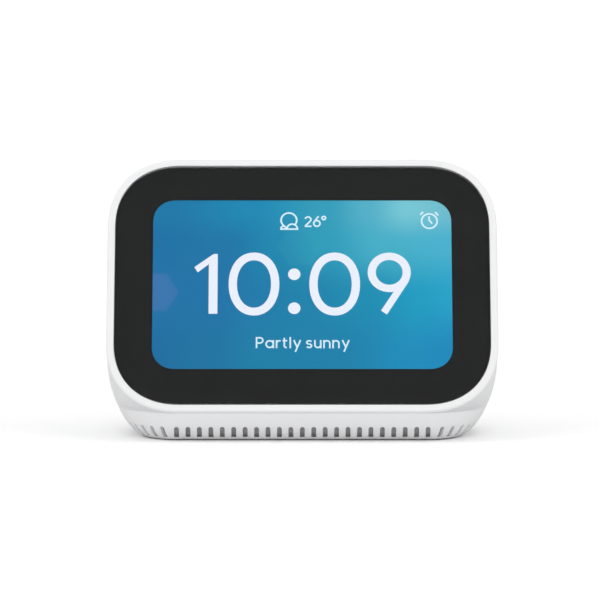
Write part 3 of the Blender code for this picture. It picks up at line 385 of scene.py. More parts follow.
crownY = planeY(shellTop) + form["crownDepth"] * 0.52
crownFrame = (Matrix.Translation((0, crownY, shellTop - form["crownSlope"] * (crownY - planeY(shellTop))))
              @ Matrix.Rotation(-atan(form["crownSlope"]), 4, "X"))


def rearFrame(y):
    # x to the left, y up and z out of the rear
    return Matrix.Translation((0, y, 0)) @ Matrix.Rotation(pi, 4, "Z") @ Matrix.Rotation(pi / 2, 4, "X")


def baseOutline(inset, height, **steps):
    return [(x, y, height) for x, y, z in levelSection(form["baseHeight"], inset, **steps)]


# rear shell with its vents, pockets and front opening

shellSizes = {
    "cavityLow": 1.5 * mm,
    "cavityBack": 3.0 * mm,
    "slotPitch": 3.3 * mm,
    "slotWidth": 1.38 * mm,
    "slotLow": 1.1 * mm,
    "slotHigh": 4.3 * mm,
    "openingInset": 2.1 * mm,
    "pocketGap": 0.25 * mm,
    "pocketEdge": 0.22 * mm,
    "micSpacing": 26.5 * mm,
    "micRadius": 0.6 * mm,
    "muteHeight": 40.0 * mm,
    "muteSlot": (8.1 * mm, 3.6 * mm),
    "jackHeight": 14.0 * mm,
    "jackHole": 4.0 * mm,
}
buttonSizes = {
    "length": 14.0 * mm,
    "width": 6.0 * mm,
    "spacing": 15.5 * mm,
    "proud": 0.35 * mm,
    "softEdge": 0.35 * mm,
    "flange": 1.3 * mm,
    "markLength": 2.4 * mm,
    "markWidth": 0.42 * mm,
    "markHeight": 0.10 * mm,
}


def alongOutline(points, distance):
    for here, there in zip(points, points[1:] + points[:1]):
        edge = (Vector(there) - Vector(here)).xy
        if distance <= edge.length:
            along = edge.normalized()
            return Vector(here).xy + along * distance, Vector((along.y, -along.x))
        distance -= edge.length


def pillRings(length, width, levels, steps=10, centre=(0, 0)):
    # round-ended rings at (inset, height)
    rings = []
    for inset, z in levels:
        half = width / 2 - inset
        rings.append(raised(softRectangle(length / 2 - inset, half, half - 1e-6, steps=steps, centre=centre), z))
    return rings


def softTop(soft, top, steps):
    # (inset, height) round an edge, up to the flat top
    angles = [pi / 2 * number / steps for number in range(1, steps + 1)]
    return [(soft * (1 - cos(angle)), top - soft * (1 - sin(angle))) for angle in angles]


def slotCutters():
    sizes = shellSizes
    points = baseOutline(0.0, 0.0)
    total = sum((Vector(b) - Vector(a)).length for a, b in zip(points, points[1:] + points[:1]))
    count = 2 * round(total / sizes["slotPitch"] / 2)
    bm = bmesh.new()
    middle, tall = (sizes["slotLow"] + sizes["slotHigh"]) / 2, sizes["slotHigh"] - sizes["slotLow"]
    half = sizes["slotWidth"] / 2
    arch = [(half * cos(radians(turn)), tall / 2 - half + half * sin(radians(turn))) for turn in range(0, 181, 18)]
    outline = arch + [(-half, -tall / 2), (half, -tall / 2)]   # round above, square below
    for number in range(count):
        place, outward = alongOutline(points, (number + 0.001) * total / count)
        known = set(bm.verts)
        loft(bm, [raised(outline, -4 * mm), raised(outline, 6 * mm)])
        across = Vector((-outward.y, outward.x, 0))
        turn = Matrix((across, Vector((0, 0, 1)), Vector((*outward, 0)))).transposed().to_4x4()
        bmesh.ops.transform(bm, matrix=Matrix.Translation((*place, middle)) @ turn,
                            verts=[v for v in bm.verts if v not in known])
    return bm


def makeRearShell():
    sizes = shellSizes
    skin = loft(bmesh.new(), [levelSection(z) for z in shellLevels()])
    shell = addPiece("rearShell", skin, materials["white_plastic"])
    wall = form["wall"]
    heights = [z for z in shellLevels(wall, 10, 8, 4) if sizes["cavityLow"] < z < shellTop - wall * 1.5]
    heights = [form["bottom"] - 1 * mm] + heights + [shellTop - wall * 1.1]
    setBack = sizes["cavityBack"]
    cut(shell, loft(bmesh.new(), [levelSection(z, wall, setBack if z >= joinZ else 0.0, 4, 6, 12) for z in heights]))
    lip = sizes["openingInset"]
    opening = softRectangle(form["width"] / 2 - lip, form["faceHeight"] / 2 - lip, form["faceCorner"] - lip,
                            form["cornerPower"], 16)
    cut(shell, turned(loft(bmesh.new(), [raised(opening, -8 * mm), raised(opening, 3 * mm)]), faceFrame))
    cut(shell, slotCutters())

    gap, edge = sizes["pocketGap"], sizes["pocketEdge"]
    levels = [(0, -6 * mm), (0, -edge), (-edge, 0), (-edge - 0.5 * mm, 0.5 * mm)]
    for side in (-1, 1):
        holes = loft(bmesh.new(), pillRings(buttonSizes["length"] + 2 * gap, buttonSizes["width"] + 2 * gap, levels, 12,
                                              (side * buttonSizes["spacing"], 0)))
        cut(shell, turned(holes, crownFrame))
        radius = sizes["micRadius"]
        profile = [(0, -6 * mm), (radius, -6 * mm), (radius, -0.15 * mm), (radius + 0.15 * mm, 0),
                   (radius + 0.65 * mm, 0.5 * mm), (0, 0.5 * mm)]
        holes = spun(bmesh.new(), profile, (side * sizes["micSpacing"], 0, 0), 24)
        cut(shell, turned(holes, crownFrame))
    slot = loft(bmesh.new(), pillRings(*sizes["muteSlot"], [(0, -8 * mm), (0, 5 * mm)], 12))
    hole = sizes["jackHole"]
    socket = spun(bmesh.new(), [(0, -6 * mm), (hole, -6 * mm), (hole, 5 * mm), (0, 5 * mm)])
    for opening, height in ((slot, sizes["muteHeight"]), (socket, sizes["jackHeight"])):
        cut(shell, turned(opening, rearFrame(rearY(height)) @ Matrix.Translation((0, height, 0))))
    return seat(shell, "housing", ["rear_shell"])


linerSizes = {"inset": 2.2 * mm, "thick": 0.3 * mm, "low": 0.7 * mm, "high": 6.0 * mm, "levels": 8}


def makeVentLiner():
    # acoustic cloth along the inside of the vents
    sizes = linerSizes
    step = (sizes["high"] - sizes["low"]) / sizes["levels"]
    heights = [sizes["low"] + step * number for number in range(sizes["levels"] + 1)]
    rings = [levelSection(z, sizes["inset"]) for z in heights]
    rings += [levelSection(z, sizes["inset"] + sizes["thick"]) for z in reversed(heights)]
    piece = addPiece("ventLiner", loft(bmesh.new(), rings, "joined"), materials["grey_cloth"])
    return seat(piece, "housing")


makeRearShell()
makeVentLiner()
print("rear shell and vent liner made")


# front frame round the glass

frameSizes = {
    "rim": 2.14 * mm,
    "innerEdge": 0.09 * mm,
    "band": 1.40 * mm,
    "ledgeFront": 2.20 * mm,
    "ledgeBack": 3.4 * mm,
    "window": (47.5 * mm, 30.22 * mm),
    "filletSteps": 8,
    "postPlaces": [(x * mm, y * mm) for y in (-20, 20) for x in (-49.6, 49.6)],
    "post": (1.0 * mm, 1.7 * mm, -5.25 * mm, -3.0 * mm),   # bore, outside, rear and front
}


def faceRing(inset, depth, steps=22):
    around = softRectangle(form["width"] / 2 - inset, form["faceHeight"] / 2 - inset, form["faceCorner"] - inset,
                           form["cornerPower"], steps)
    return raised(around, -depth)


def makeFrontFrame():
    sizes = frameSizes
    window = softRectangle(*sizes["window"], 4 * mm, 2.25, 22)
    rings = [raised(window, -sizes["ledgeBack"]), raised(window, -sizes["ledgeFront"]),
             faceRing(sizes["rim"], sizes["ledgeFront"]), faceRing(sizes["rim"], sizes["innerEdge"]),
             faceRing(sizes["rim"] - sizes["innerEdge"], 0.0)]
    fillet = form["rimFillet"]
    for number in range(sizes["filletSteps"] + 1):
        angle = pi / 2 * number / sizes["filletSteps"]
        rings.append(faceRing(fillet * (1 - sin(angle)), fillet * (1 - cos(angle))))
    spigot = form["wall"] + 0.3 * mm
    rings += [faceRing(0, sizes["band"]), faceRing(spigot, sizes["band"]), faceRing(spigot, sizes["ledgeBack"])]
    bm = loft(bmesh.new(), rings, "joined")
    bore, outside, rear, front = sizes["post"]
    for x, y in sizes["postPlaces"]:
        spun(bm, [(bore, rear), (outside, rear), (outside, front), (bore, front)], (x, y, 0), 24)
    piece = addPiece("frontFrame", turned(bm, faceFrame), materials["white_plastic"])
    return seat(piece, "housing", ["front_frame"])


makeFrontFrame()
print("front frame made")


# cover glass, printed border and the lit picture

glassSizes = {"inset": 2.2 * mm, "front": 0.05 * mm, "back": 1.15 * mm, "softEdge": 0.22 * mm}
screenSizes = {
    "half": (43.2 * mm, 25.92 * mm),
    "centre": (0.0, 0.25 * mm),
    "corner": 6.5 * mm,
    "inkDepth": (1.16 * mm, 1.20 * mm),
    "picture": (1.27 * mm, 1.40 * mm),
    "marks": (1.215 * mm, 1.235 * mm),
}


def makeGlassMaterial():
    # clear to sight, and lamps reach what is behind it
    material, tree, shader = newMaterial("coverGlass")
    shader.inputs["Base Color"].default_value = (0.97, 0.985, 0.98, 1)
    shader.inputs["Transmission Weight"].default_value = 1.0
    shader.inputs["IOR"].default_value = 1.5
    shader.inputs["Roughness"].default_value = 0.0
    path = wire(tree, "ShaderNodeLightPath").outputs["Is Shadow Ray"]
    clear = wire(tree, "ShaderNodeBsdfTransparent")
    choose = wire(tree, "ShaderNodeMixShader", input0=path, input1=shader.outputs[0], input2=clear.outputs[0])
    tree.links.new(choose.outputs[0], tree.nodes["Material Output"].inputs["Surface"])
    return material


def makeCoverGlass():
    inset, front, back, soft = (glassSizes[key] for key in ("inset", "front", "back", "softEdge"))
    rings = [faceRing(inset + soft * (1 - sin(angle)), front + soft * (1 - cos(angle)))
             for angle in (0, pi / 8, pi / 4, 3 * pi / 8, pi / 2)]
    rings += [faceRing(inset, back - 0.1 * mm), faceRing(inset + 0.1 * mm, back)]
    piece = addPiece("coverGlass", turned(loft(bmesh.new(), rings), faceFrame), makeGlassMaterial(), 30)
    return seat(piece, "housing", ["cover_glass"])


def makeInkBorder():
    # the black print behind the glass, with the clear window for the picture
    low, high = screenSizes["inkDepth"]
    window = softRectangle(*screenSizes["half"], screenSizes["corner"], 2.1, 22, screenSizes["centre"])
    inset = glassSizes["inset"] + 0.12 * mm
    rings = [faceRing(inset, high), faceRing(inset, low), raised(window, -low), raised(window, -high)]
    piece = addPiece("inkBorder", turned(loft(bmesh.new(), rings, "joined"), faceFrame), materials["printed_ink"])
    return seat(piece, "housing")


glassPass, glassVeil = 0.91, 0.0185   # the share of light let through, and what the surface mirrors


def behindGlass(shade):
    # what must shine so that this colour is seen through the glass
    return tuple(max((c - glassVeil) / glassPass, 0.0) for c in linear(*shade))


pictureRows = [   # height up the picture, then (place across, colour) from left to right
    (0.95, [(0.05, (25, 122, 169)), (0.33, (33, 138, 180)), (0.58, (57, 158, 187)), (0.72, (86, 176, 200)),
            (0.85, (121, 199, 214)), (1.0, (112, 189, 206))]),
    (0.74, [(0.0, (31, 115, 167)), (0.25, (29, 120, 168)), (0.42, (38, 137, 176)), (0.58, (52, 157, 187)),
            (0.77, (74, 175, 200)), (1.0, (76, 177, 206))]),
    (0.44, [(0.0, (40, 116, 168)), (0.20, (38, 116, 168)), (0.35, (34, 124, 171)), (0.50, (30, 132, 172)),
            (0.72, (30, 142, 179)), (0.90, (38, 158, 194)), (1.0, (44, 162, 200))]),
    (0.08, [(0.0, (25, 112, 161)), (0.20, (24, 118, 163)), (0.36, (22, 128, 168)), (0.62, (17, 130, 171)),
            (0.86, (21, 141, 187)), (1.0, (16, 137, 188))]),
]
pictureHexagons = [   # place, radius, strength and colour
    (-0.6 * mm, 11.9 * mm, 6.6 * mm, 0.10, (70, 175, 190)),
    (-42.4 * mm, -2.2 * mm, 6.6 * mm, 0.16, (120, 135, 200)),
]


def makePictureMaterial():
    material, tree, shader = newMaterial("litPicture")
    shader.inputs["Base Color"].default_value = (0.01, 0.01, 0.012, 1)
    shader.inputs["Roughness"].default_value = 0.4
    shader.inputs["Specular IOR Level"].default_value = 0.1
    place = wire(tree, "ShaderNodeTexCoord").outputs["Object"]
    local = wire(tree, "ShaderNodeMapping", {"vector_type": "TEXTURE", "Location": faceFrame.translation,
                                             "Rotation": faceFrame.to_euler()}, Vector=place)
    split = wire(tree, "ShaderNodeSeparateXYZ", Vector=local.outputs[0])
    halfX, halfY = screenSizes["half"]
    middle = screenSizes["centre"][1]
    across = mapped(tree, split.outputs[0], -halfX, halfX)
    up = mapped(tree, split.outputs[1], middle - halfY, middle + halfY)
    colour, lastHeight = None, None
    for height, stops in reversed(pictureRows):
        ramp = wire(tree, "ShaderNodeValToRGB", Fac=across)
        ramp.color_ramp.interpolation = "EASE"
        for number, (spot, shade) in enumerate(stops):
            stop = ramp.color_ramp.elements[number] if number < 2 else ramp.color_ramp.elements.new(spot)
            stop.position, stop.color = spot, (*behindGlass(shade), 1)
        if colour is None:
            colour = ramp.outputs[0]
        else:
            colour = mixed(tree, mapped(tree, up, lastHeight, height, kind="SMOOTHSTEP"), colour, ramp.outputs[0])
        lastHeight = height
    for x, y, radius, strength, shade in pictureHexagons:
        offset = wire(tree, "ShaderNodeVectorMath", {"operation": "SUBTRACT"}, input0=local.outputs[0])
        offset.inputs[1].default_value = (x, y, 0)
        size = wire(tree, "ShaderNodeVectorMath", {"operation": "ABSOLUTE"}, input0=offset.outputs[0])
        parts = wire(tree, "ShaderNodeSeparateXYZ", Vector=size.outputs[0])
        slant = wire(tree, "ShaderNodeMath", {"operation": "MULTIPLY"}, input0=parts.outputs[0])
        slant.inputs[1].default_value = cos(pi / 6)
        reach = wire(tree, "ShaderNodeMath", {"operation": "MULTIPLY_ADD"}, input0=parts.outputs[1],
                     input2=slant.outputs[0])
        reach.inputs[1].default_value = 0.5
        widest = wire(tree, "ShaderNodeMath", {"operation": "MAXIMUM"}, input0=reach.outputs[0],
                      input1=parts.outputs[1])
        inner, blur = radius * cos(pi / 6), 0.35 * mm
        mask = mapped(tree, widest.outputs[0], inner + blur, inner - blur, 0.0, strength)
        colour = mixed(tree, mask, colour, behindGlass(shade))
    tree.links.new(colour, shader.inputs["Emission Color"])
    shader.inputs["Emission Strength"].default_value = 1.0
    return material


def makePicture():
    low, high = screenSizes["picture"]
    halfX, halfY = screenSizes["half"]
    past = 0.5 * mm   # tucked behind the border
    around = softRectangle(halfX + past, halfY + past, screenSizes["corner"], 2.1, 12, screenSizes["centre"])
    piece = addPiece("litPicture", turned(loft(bmesh.new(), [raised(around, -high), raised(around, -low)]), faceFrame),
                     makePictureMaterial())
    return seat(piece, "housing")


def makeMarkMaterial(name, shade):
    material, tree, shader = newMaterial(name)
    shader.inputs["Base Color"].default_value = (0.02, 0.02, 0.02, 1)
    shader.inputs["Specular IOR Level"].default_value = 0.1
    place = wire(tree, "ShaderNodeTexCoord").outputs["Object"]
    cells = wire(tree, "ShaderNodeTexNoise", {"Scale": 400.0}, Vector=place).outputs["Fac"]
    tone = mixed(tree, cells, behindGlass(shade), [c * 0.97 for c in behindGlass(shade)])
    tree.links.new(tone, shader.inputs["Emission Color"])
    shader.inputs["Emission Strength"].default_value = 1.0
    return material


makeCoverGlass()
makeInkBorder()
makePicture()
print("glass, border and picture made")


# the clock's figures, in millimetres from the middle of the face

clockSizes = {
    "zeroOuter": (7.31, 9.68), "zeroInner": (4.92, 7.28), "zeroPower": 2.12,
    "zeroPlaces": [(-13.94, 0.34), (9.35, 0.34)],
    "one": [(-31.2, 5.5), (-30.2, 3.9), (-27.0, 6.45), (-27.0, -8.8), (-24.45, -8.8), (-24.45, 9.6), (-25.6, 9.6)],
    "dots": [(-2.32, 3.32), (-2.32, -7.12)], "dotRadius": 1.78,
    "nineCentre": (25.12, 3.92), "nineOuter": (6.22, 6.08), "nineInner": (3.88, 3.82),
    "nineLeg": [(22.68, -7.85), (24.38, -9.05), (30.75, 1.1), (28.8, 2.6), (26.6, -1.7)],
}


def flatRing(bm, centre, outer, inner, power, low, high, steps=96):
    def around(half):
        spots = []
        for number in range(steps):
            c, s = cos(2 * pi * number / steps), sin(2 * pi * number / steps)
            scale = 1 / (abs(c) ** power + abs(s) ** power) ** (1 / power)
            spots.append((centre[0] + half[0] * c * scale, centre[1] + half[1] * s * scale))
        return spots
    return loft(bm, [raised(around(outer), low), raised(around(outer), high), raised(around(inner), high),
                     raised(around(inner), low)], "joined")


def makeClock():
    sizes = clockSizes
    low, high = -screenSizes["marks"][1] / mm, -screenSizes["marks"][0] / mm
    bm = bmesh.new()
    for place in sizes["zeroPlaces"]:
        flatRing(bm, place, sizes["zeroOuter"], sizes["zeroInner"], sizes["zeroPower"], low, high)
    flatRing(bm, sizes["nineCentre"], sizes["nineOuter"], sizes["nineInner"], 2.0, low, high)
    flatShape(bm, sizes["nineLeg"], low, high)
    flatShape(bm, sizes["one"], low, high)
    for x, y in sizes["dots"]:
        radius = sizes["dotRadius"]
        spun(bm, [(0, low), (radius, low), (radius, high), (0, high)], (x, y, 0), 48)
    bmesh.ops.scale(bm, vec=(mm, mm, mm), verts=bm.verts[:])
    piece = addPiece("clockFigures", turned(bm, faceFrame), makeMarkMaterial("litFigures", (237, 241, 253)))
    return seat(piece, "housing")


makeClock()
print("clock figures made")


# thin line marks: weather, temperature, wording and alarm, drawn as strokes of one width

def arc(x, y, radiusX, radiusY, start, end, steps=14):
    angles = [radians(start + (end - start) * number / steps) for number in range(steps + 1)]
    return [(x + radiusX * cos(angle), y + radiusY * sin(angle)) for angle in angles]


letterShapes = {   # strokes as points, with the capital height as 1, then the width to the last stroke
    "P": ([[(0, 0), (0, 1)], [(0, 0.935), (0.27, 0.935)] + arc(0.27, 0.70, 0.24, 0.235, 90, -90) + [(0, 0.465)]], 0.51),
    "a": ([arc(0.29, 0.3675, 0.29, 0.3025, 0, 360, 24), [(0.58, 0), (0.58, 0.735)]], 0.58),
    "r": ([[(0, 0), (0, 0.735)], arc(0.25, 0.42, 0.25, 0.25, 180, 72, 8)], 0.22),
    "t": ([[(0.14, 0.93), (0.14, 0.24)] + arc(0.32, 0.24, 0.18, 0.175, 180, 275, 8), [(0, 0.67), (0.37, 0.67)]], 0.36),
    "l": ([[(0, 0), (0, 1.0)]], 0.0),
    "y": ([[(0.02, 0.735), (0.30, 0.06)], [(0.56, 0.735), (0.14, -0.32)]], 0.56),
    "s": ([arc(0.2, 0.518, 0.19, 0.1515, 25, 270, 12) + arc(0.2, 0.217, 0.20, 0.1515, 90, -155, 12)], 0.40),
    "u": ([[(0, 0.735), (0, 0.30)] + arc(0.235, 0.30, 0.235, 0.235, 180, 360) + [(0.47, 0.5)],
           [(0.47, 0.735), (0.47, 0)]], 0.47),
    "n": ([[(0, 0), (0, 0.735)], [(0, 0.40)] + arc(0.235, 0.435, 0.235, 0.235, 180, 0) + [(0.47, 0)]], 0.47),
    "2": ([arc(0.28, 0.69, 0.25, 0.245, 165, -35, 12) + [(0.05, 0.10)], [(0.0, 0.065), (0.58, 0.065)]], 0.56),
    "6": ([arc(0.28, 0.33, 0.27, 0.265, 0, 360, 24), [(0.04, 0.42), (0.10, 0.55), (0.42, 1.0)]], 0.55),
    "o": ([arc(0.13, 0.83, 0.155, 0.155, 0, 360, 16)], 0.28),
}
markSizes = {
    "wording": {"text": "Partly sunny", "height": 3.42, "stroke": 0.46, "left": -13.15, "base": -19.35, "gap": 0.265,
                "space": 0.50, "right": 13.45},
    "warmth": {"text": "26o", "height": 3.35, "stroke": 0.48, "left": 0.72, "base": 17.95, "gap": 0.20,
               "right": 6.75},
    "iconStroke": 0.50,
    "sun": (-3.88, 20.05, 2.26),
    "cloud": (-2.92, 17.35, 1.50),
    "cloudBase": (-6.40, -1.15, 17.30),
    "shrub": (-5.42, 0.80, 0.85),
    "alarm": (36.85, 19.78, 2.25),
    "alarmLines": [[(-0.06, 1.5), (-0.06, 0.35), (0.82, -0.8)], [(-2.62, 1.93), (-1.76, 2.88)],
                   [(2.62, 1.83), (1.66, 2.80)]],   # hands and bells, from the clock's middle
}


def lettering(look):
    # strokes of a line of text, fitted between its left and right ends
    strokes, pen = [], 0.0
    for letter in look["text"]:
        if letter == " ":
            pen += look["space"] - look["gap"]
            continue
        shapes, width = letterShapes[letter]
        strokes += [[(pen + x, y) for x, y in shape] for shape in shapes]
        pen += width + look["gap"]
    wide = (look["right"] - look["left"]) / (pen - look["gap"])
    return [[(look["left"] + x * wide, look["base"] + y * look["height"]) for x, y in stroke] for stroke in strokes]


def iconStrokes():
    x, y, radius = markSizes["sun"]
    strokes = [arc(x, y, radius, radius, -42, 232, 30)]
    cloudX, cloudY, cloudRadius = markSizes["cloud"]
    strokes.append(arc(cloudX, cloudY, cloudRadius, cloudRadius, 0, 180, 16))
    left, right, base = markSizes["cloudBase"]
    strokes.append([(left, base), (right, base)])
    shrubX, wide, high = markSizes["shrub"]
    strokes.append(arc(shrubX, base + 0.05, wide, high, 0, 180, 10))
    x, y, radius = markSizes["alarm"]
    strokes.append(arc(x, y, radius, radius, 0, 360, 40))
    return strokes + [[(x + across, y + up) for across, up in line] for line in markSizes["alarmLines"]]


def makeStrokes(name, strokes, width, material):
    # a bevelled curve, flattened onto the picture once it is a mesh
    curve = bpy.data.curves.new(name, "CURVE")
    curve.dimensions = "3D"
    curve.bevel_depth = width / 2 * mm
    curve.bevel_resolution = 2
    curve.use_fill_caps = True
    for stroke in strokes:
        spline = curve.splines.new("POLY")
        spline.points.add(len(stroke) - 1)
        for point, (x, y) in zip(spline.points, stroke):
            point.co = (x * mm, y * mm, 0, 1)
    drawn = bpy.data.objects.new(name, curve)
    collection.objects.link(drawn)
    mesh = bpy.data.meshes.new_from_object(drawn.evaluated_get(bpy.context.evaluated_depsgraph_get()))
    bpy.data.objects.remove(drawn)
    bm = bmesh.new()
    bm.from_mesh(mesh)
    bmesh.ops.remove_doubles(bm, verts=bm.verts[:], dist=weldDistance)   # the end caps join their stroke
    thick = (screenSizes["marks"][1] - screenSizes["marks"][0]) / (width * mm)
    middle = -sum(screenSizes["marks"]) / 2
    turned(bm, faceFrame @ Matrix.Translation((0, 0, middle)) @ Matrix.Diagonal((1, 1, thick, 1)))
    return seat(addPiece(name, bm, material), "housing")


lineLight = makeMarkMaterial("litLines", (215, 240, 252))
makeStrokes("weatherWording", lettering(markSizes["wording"]), markSizes["wording"]["stroke"], lineLight)
makeStrokes("temperature", lettering(markSizes["warmth"]), markSizes["warmth"]["stroke"], lineLight)
makeStrokes("screenIcons", iconStrokes(), markSizes["iconStroke"], lineLight)
print("line marks made")


# volume buttons with raised marks

def makeButton(name, side):
    sizes = buttonSizes
    flangeTop = -form["wall"] - 0.3 * mm
    proud, soft = sizes["proud"], sizes["softEdge"]
    levels = [(-sizes["flange"], flangeTop - 0.6 * mm), (-sizes["flange"], flangeTop), (0, flangeTop),
              (0, proud - soft)] + softTop(soft, proud, 4)
    bm = loft(bmesh.new(), pillRings(sizes["length"], sizes["width"], levels, 14))
    long, wide = sizes["markLength"] / 2, sizes["markWidth"] / 2
    bars = [(long, wide)] + ([(wide, long)] if side > 0 else [])
    for halfX, halfY in bars:
        bar = softRectangle(halfX, halfY, wide * 0.9, steps=4)
        top = proud + sizes["markHeight"]
        tip = [(x * 0.97, y * 0.97) for x, y in bar]
        loft(bm, [raised(bar, proud - 0.1 * mm), raised(bar, top - 0.03 * mm), raised(tip, top)])
    turned(bm, crownFrame @ Matrix.Translation((side * sizes["spacing"], 0, 0)))
    return addPiece(name, bm, materials["white_plastic"])


for side, word in ((1, "up"), (-1, "down")):
    node = f"volume_{word}_button"
    seat(makeButton(f"volume{word.capitalize()}Button", side), node, [node])
print("buttons made")


# mute knob, base, foot and screws

knobSizes = {
    "length": 5.0 * mm, "width": 3.0 * mm, "proud": 0.7 * mm, "rest": 1.25 * mm, "softEdge": 0.3 * mm,
    "flange": (8.0 * mm, 5.0 * mm), "flangeBack": -3.5 * mm, "flangeFront": -2.5 * mm,
    "ribs": 3, "ribPitch": 0.9 * mm, "ribWidth": 0.3 * mm,
}


def makeMuteKnob():
    sizes = knobSizes
    soft, back = sizes["softEdge"], sizes["flangeBack"]
    levels = [(0.1 * mm, back), (0, back + 0.1 * mm), (0, sizes["flangeFront"])]
    bm = loft(bmesh.new(), pillRings(*sizes["flange"], levels, 12))
    levels = [(0, sizes["flangeFront"] - 0.2 * mm), (0, sizes["proud"] - soft)] + softTop(soft, sizes["proud"], 3)
    loft(bm, pillRings(sizes["length"], sizes["width"], levels, 12))
    for number in range(sizes["ribs"]):
        x = (number - (sizes["ribs"] - 1) / 2) * sizes["ribPitch"]
        half = sizes["ribWidth"] / 2
        rib = softRectangle(half, sizes["width"] * 0.3, half - 1e-6, steps=4, centre=(x, 0))
        loft(bm, [raised(rib, sizes["proud"] - 0.1 * mm), raised(rib, sizes["proud"] + 0.10 * mm)])
    height = shellSizes["muteHeight"]
    place = rearFrame(rearY(height)) @ Matrix.Translation((-sizes["rest"], height, 0))
    piece = addPiece("muteKnob", turned(bm, place), materials["orange_plastic"])
    return seat(piece, "mute_slider", ["mute_knob"])


baseSizes = {
    "plateInset": 5.2 * mm, "plateLow": 1.3 * mm, "plateHigh": 2.9 * mm,
    "footInset": 4.2 * mm, "footWidth": 5.0 * mm, "footHigh": 1.0 * mm, "footEdge": 0.25 * mm,
    "screwPlaces": [(x * mm, y * mm) for y in (-12, 8) for x in (-29, 29)],
    "recess": 2.4 * mm, "headHigh": 1.0 * mm, "headRadius": 2.1 * mm, "shankRadius": 1.1 * mm,
    "shankTop": 17.0 * mm, "threadTurns": 14, "pillarRadius": 2.7 * mm, "pillarTop": 8.7 * mm,
    "crossWide": 0.5 * mm, "crossLong": 2.2 * mm, "crossDeep": 0.55 * mm,
}


def makeBasePlate():
    sizes = baseSizes
    low, high, soft = sizes["plateLow"], sizes["plateHigh"], 0.25 * mm
    rings = [baseOutline(sizes["plateInset"] + soft, low), baseOutline(sizes["plateInset"], low + soft),
             baseOutline(sizes["plateInset"], high)]
    piece = addPiece("basePlate", loft(bmesh.new(), rings), materials["black_plastic"])
    pillars, holes = bmesh.new(), bmesh.new()
    for x, y in sizes["screwPlaces"]:
        radius = sizes["pillarRadius"]
        start, top = high - 0.5 * mm, sizes["pillarTop"]
        spun(pillars, [(0, start), (radius, start), (radius, top), (0, top)], (x, y, 0), 32)
        bore, recess, head = sizes["shankRadius"] + 0.3 * mm, sizes["recess"], low + sizes["headHigh"]
        profile = [(0, low - 1 * mm), (recess + 1.2 * mm, low - 1 * mm), (recess + 0.2 * mm, low),
                   (recess, low + 0.2 * mm), (recess, head), (bore, head), (bore, top + 1 * mm), (0, top + 1 * mm)]
        spun(holes, profile, (x, y, 0), 32)
    cut(piece, pillars, "UNION")
    cut(piece, holes)
    return seat(piece, "housing", ["base_plate"])


def makeRubberFoot():
    sizes = baseSizes
    outer, inner = sizes["footInset"], sizes["footInset"] + sizes["footWidth"]
    soft, high = sizes["footEdge"], sizes["footHigh"]
    edge = [(soft * (1 - sin(angle)), soft * (1 - cos(angle))) for angle in (pi / 2 * step / 4 for step in range(5))]
    rings = [baseOutline(outer + inset, height) for inset, height in edge]
    rings += [baseOutline(outer, high), baseOutline(inner, high)]
    rings += [baseOutline(inner - inset, height) for inset, height in reversed(edge)]
    piece = addPiece("rubberFoot", loft(bmesh.new(), rings, "joined"), materials["grey_rubber"])
    return seat(piece, "housing", ["rubber_foot"])


def makeBaseScrew(number, place):
    sizes = baseSizes
    low, head, shank = sizes["plateLow"], sizes["headRadius"], sizes["shankRadius"]
    seatHeight = low + sizes["headHigh"]
    profile = [(0, low + 0.2 * mm), (head * 0.75, low + 0.2 * mm), (head * 0.94, low + 0.32 * mm),
               (head, low + 0.55 * mm), (head, seatHeight - 0.03 * mm), (shank, seatHeight - 0.03 * mm)]
    turns = sizes["threadTurns"]
    for turn in range(turns):   # thread crests
        height = seatHeight + (sizes["shankTop"] - seatHeight) * (turn + 0.5) / turns
        profile += [(shank, height - 0.25 * mm), (shank * 0.82, height), (shank, height + 0.25 * mm)]
    profile += [(shank * 0.6, sizes["shankTop"]), (0, sizes["shankTop"])]
    screw = addPiece(f"baseScrew{number}", spun(bmesh.new(), profile, steps=24), materials["plated_steel"])
    long, wide, deep = sizes["crossLong"] / 2, sizes["crossWide"] / 2, sizes["crossDeep"]
    for halfX, halfY, depth in ((long, wide, deep + 0.02 * mm), (wide, long, deep)):
        arm = softRectangle(halfX, halfY, 0.12 * mm, steps=3)
        tip = [(x * 0.7, y * 0.7) for x, y in arm]
        face = low + 0.2 * mm
        cut(screw, loft(bmesh.new(), [raised(arm, low - 0.3 * mm), raised(arm, face), raised(tip, face + depth)]))
    screw.data.transform(Matrix.Translation((*place, 0)))
    return seat(screw, "housing", [f"base_screw_{number}"])


makeMuteKnob()
makeBasePlate()
makeRubberFoot()
for number, place in enumerate(baseSizes["screwPlaces"]):
    makeBaseScrew(number + 1, place)
print("knob, base, foot and screws made")


# CAD nodes that stay, with their finishes

nodeFinishes = {
    "display_panel": ["lcd_panel"], "black_foam": ["glass_gasket"], "thermal_pad": ["thermal_pad"],
    "aluminium": ["heat_spreader"], "bright_metal": ["jack_pin"], "copper_wire": ["voice_coil"],
    "ferrite": ["speaker_magnet"], "red_insulation": ["speaker_lead_red"], "grey_rubber": ["speaker_surround"],
    "black_epoxy": ["processor", "mute_switch_lever", "tact_switch_up", "tact_switch_down"],
    "black_plastic": ["inner_chassis", "speaker_box", "dc_jack", "speaker_lead_black"],
    "cone_paper": ["speaker_cone", "dust_cap"],
    "amber_film": ["display_flex", "rear_ribbon", "top_ribbon", "wifi_antenna"],
    "circuit_board": ["main_board", "top_board", "rear_board"],
}
finishFor = {node: finish for finish, nodes in nodeFinishes.items() for node in nodes}


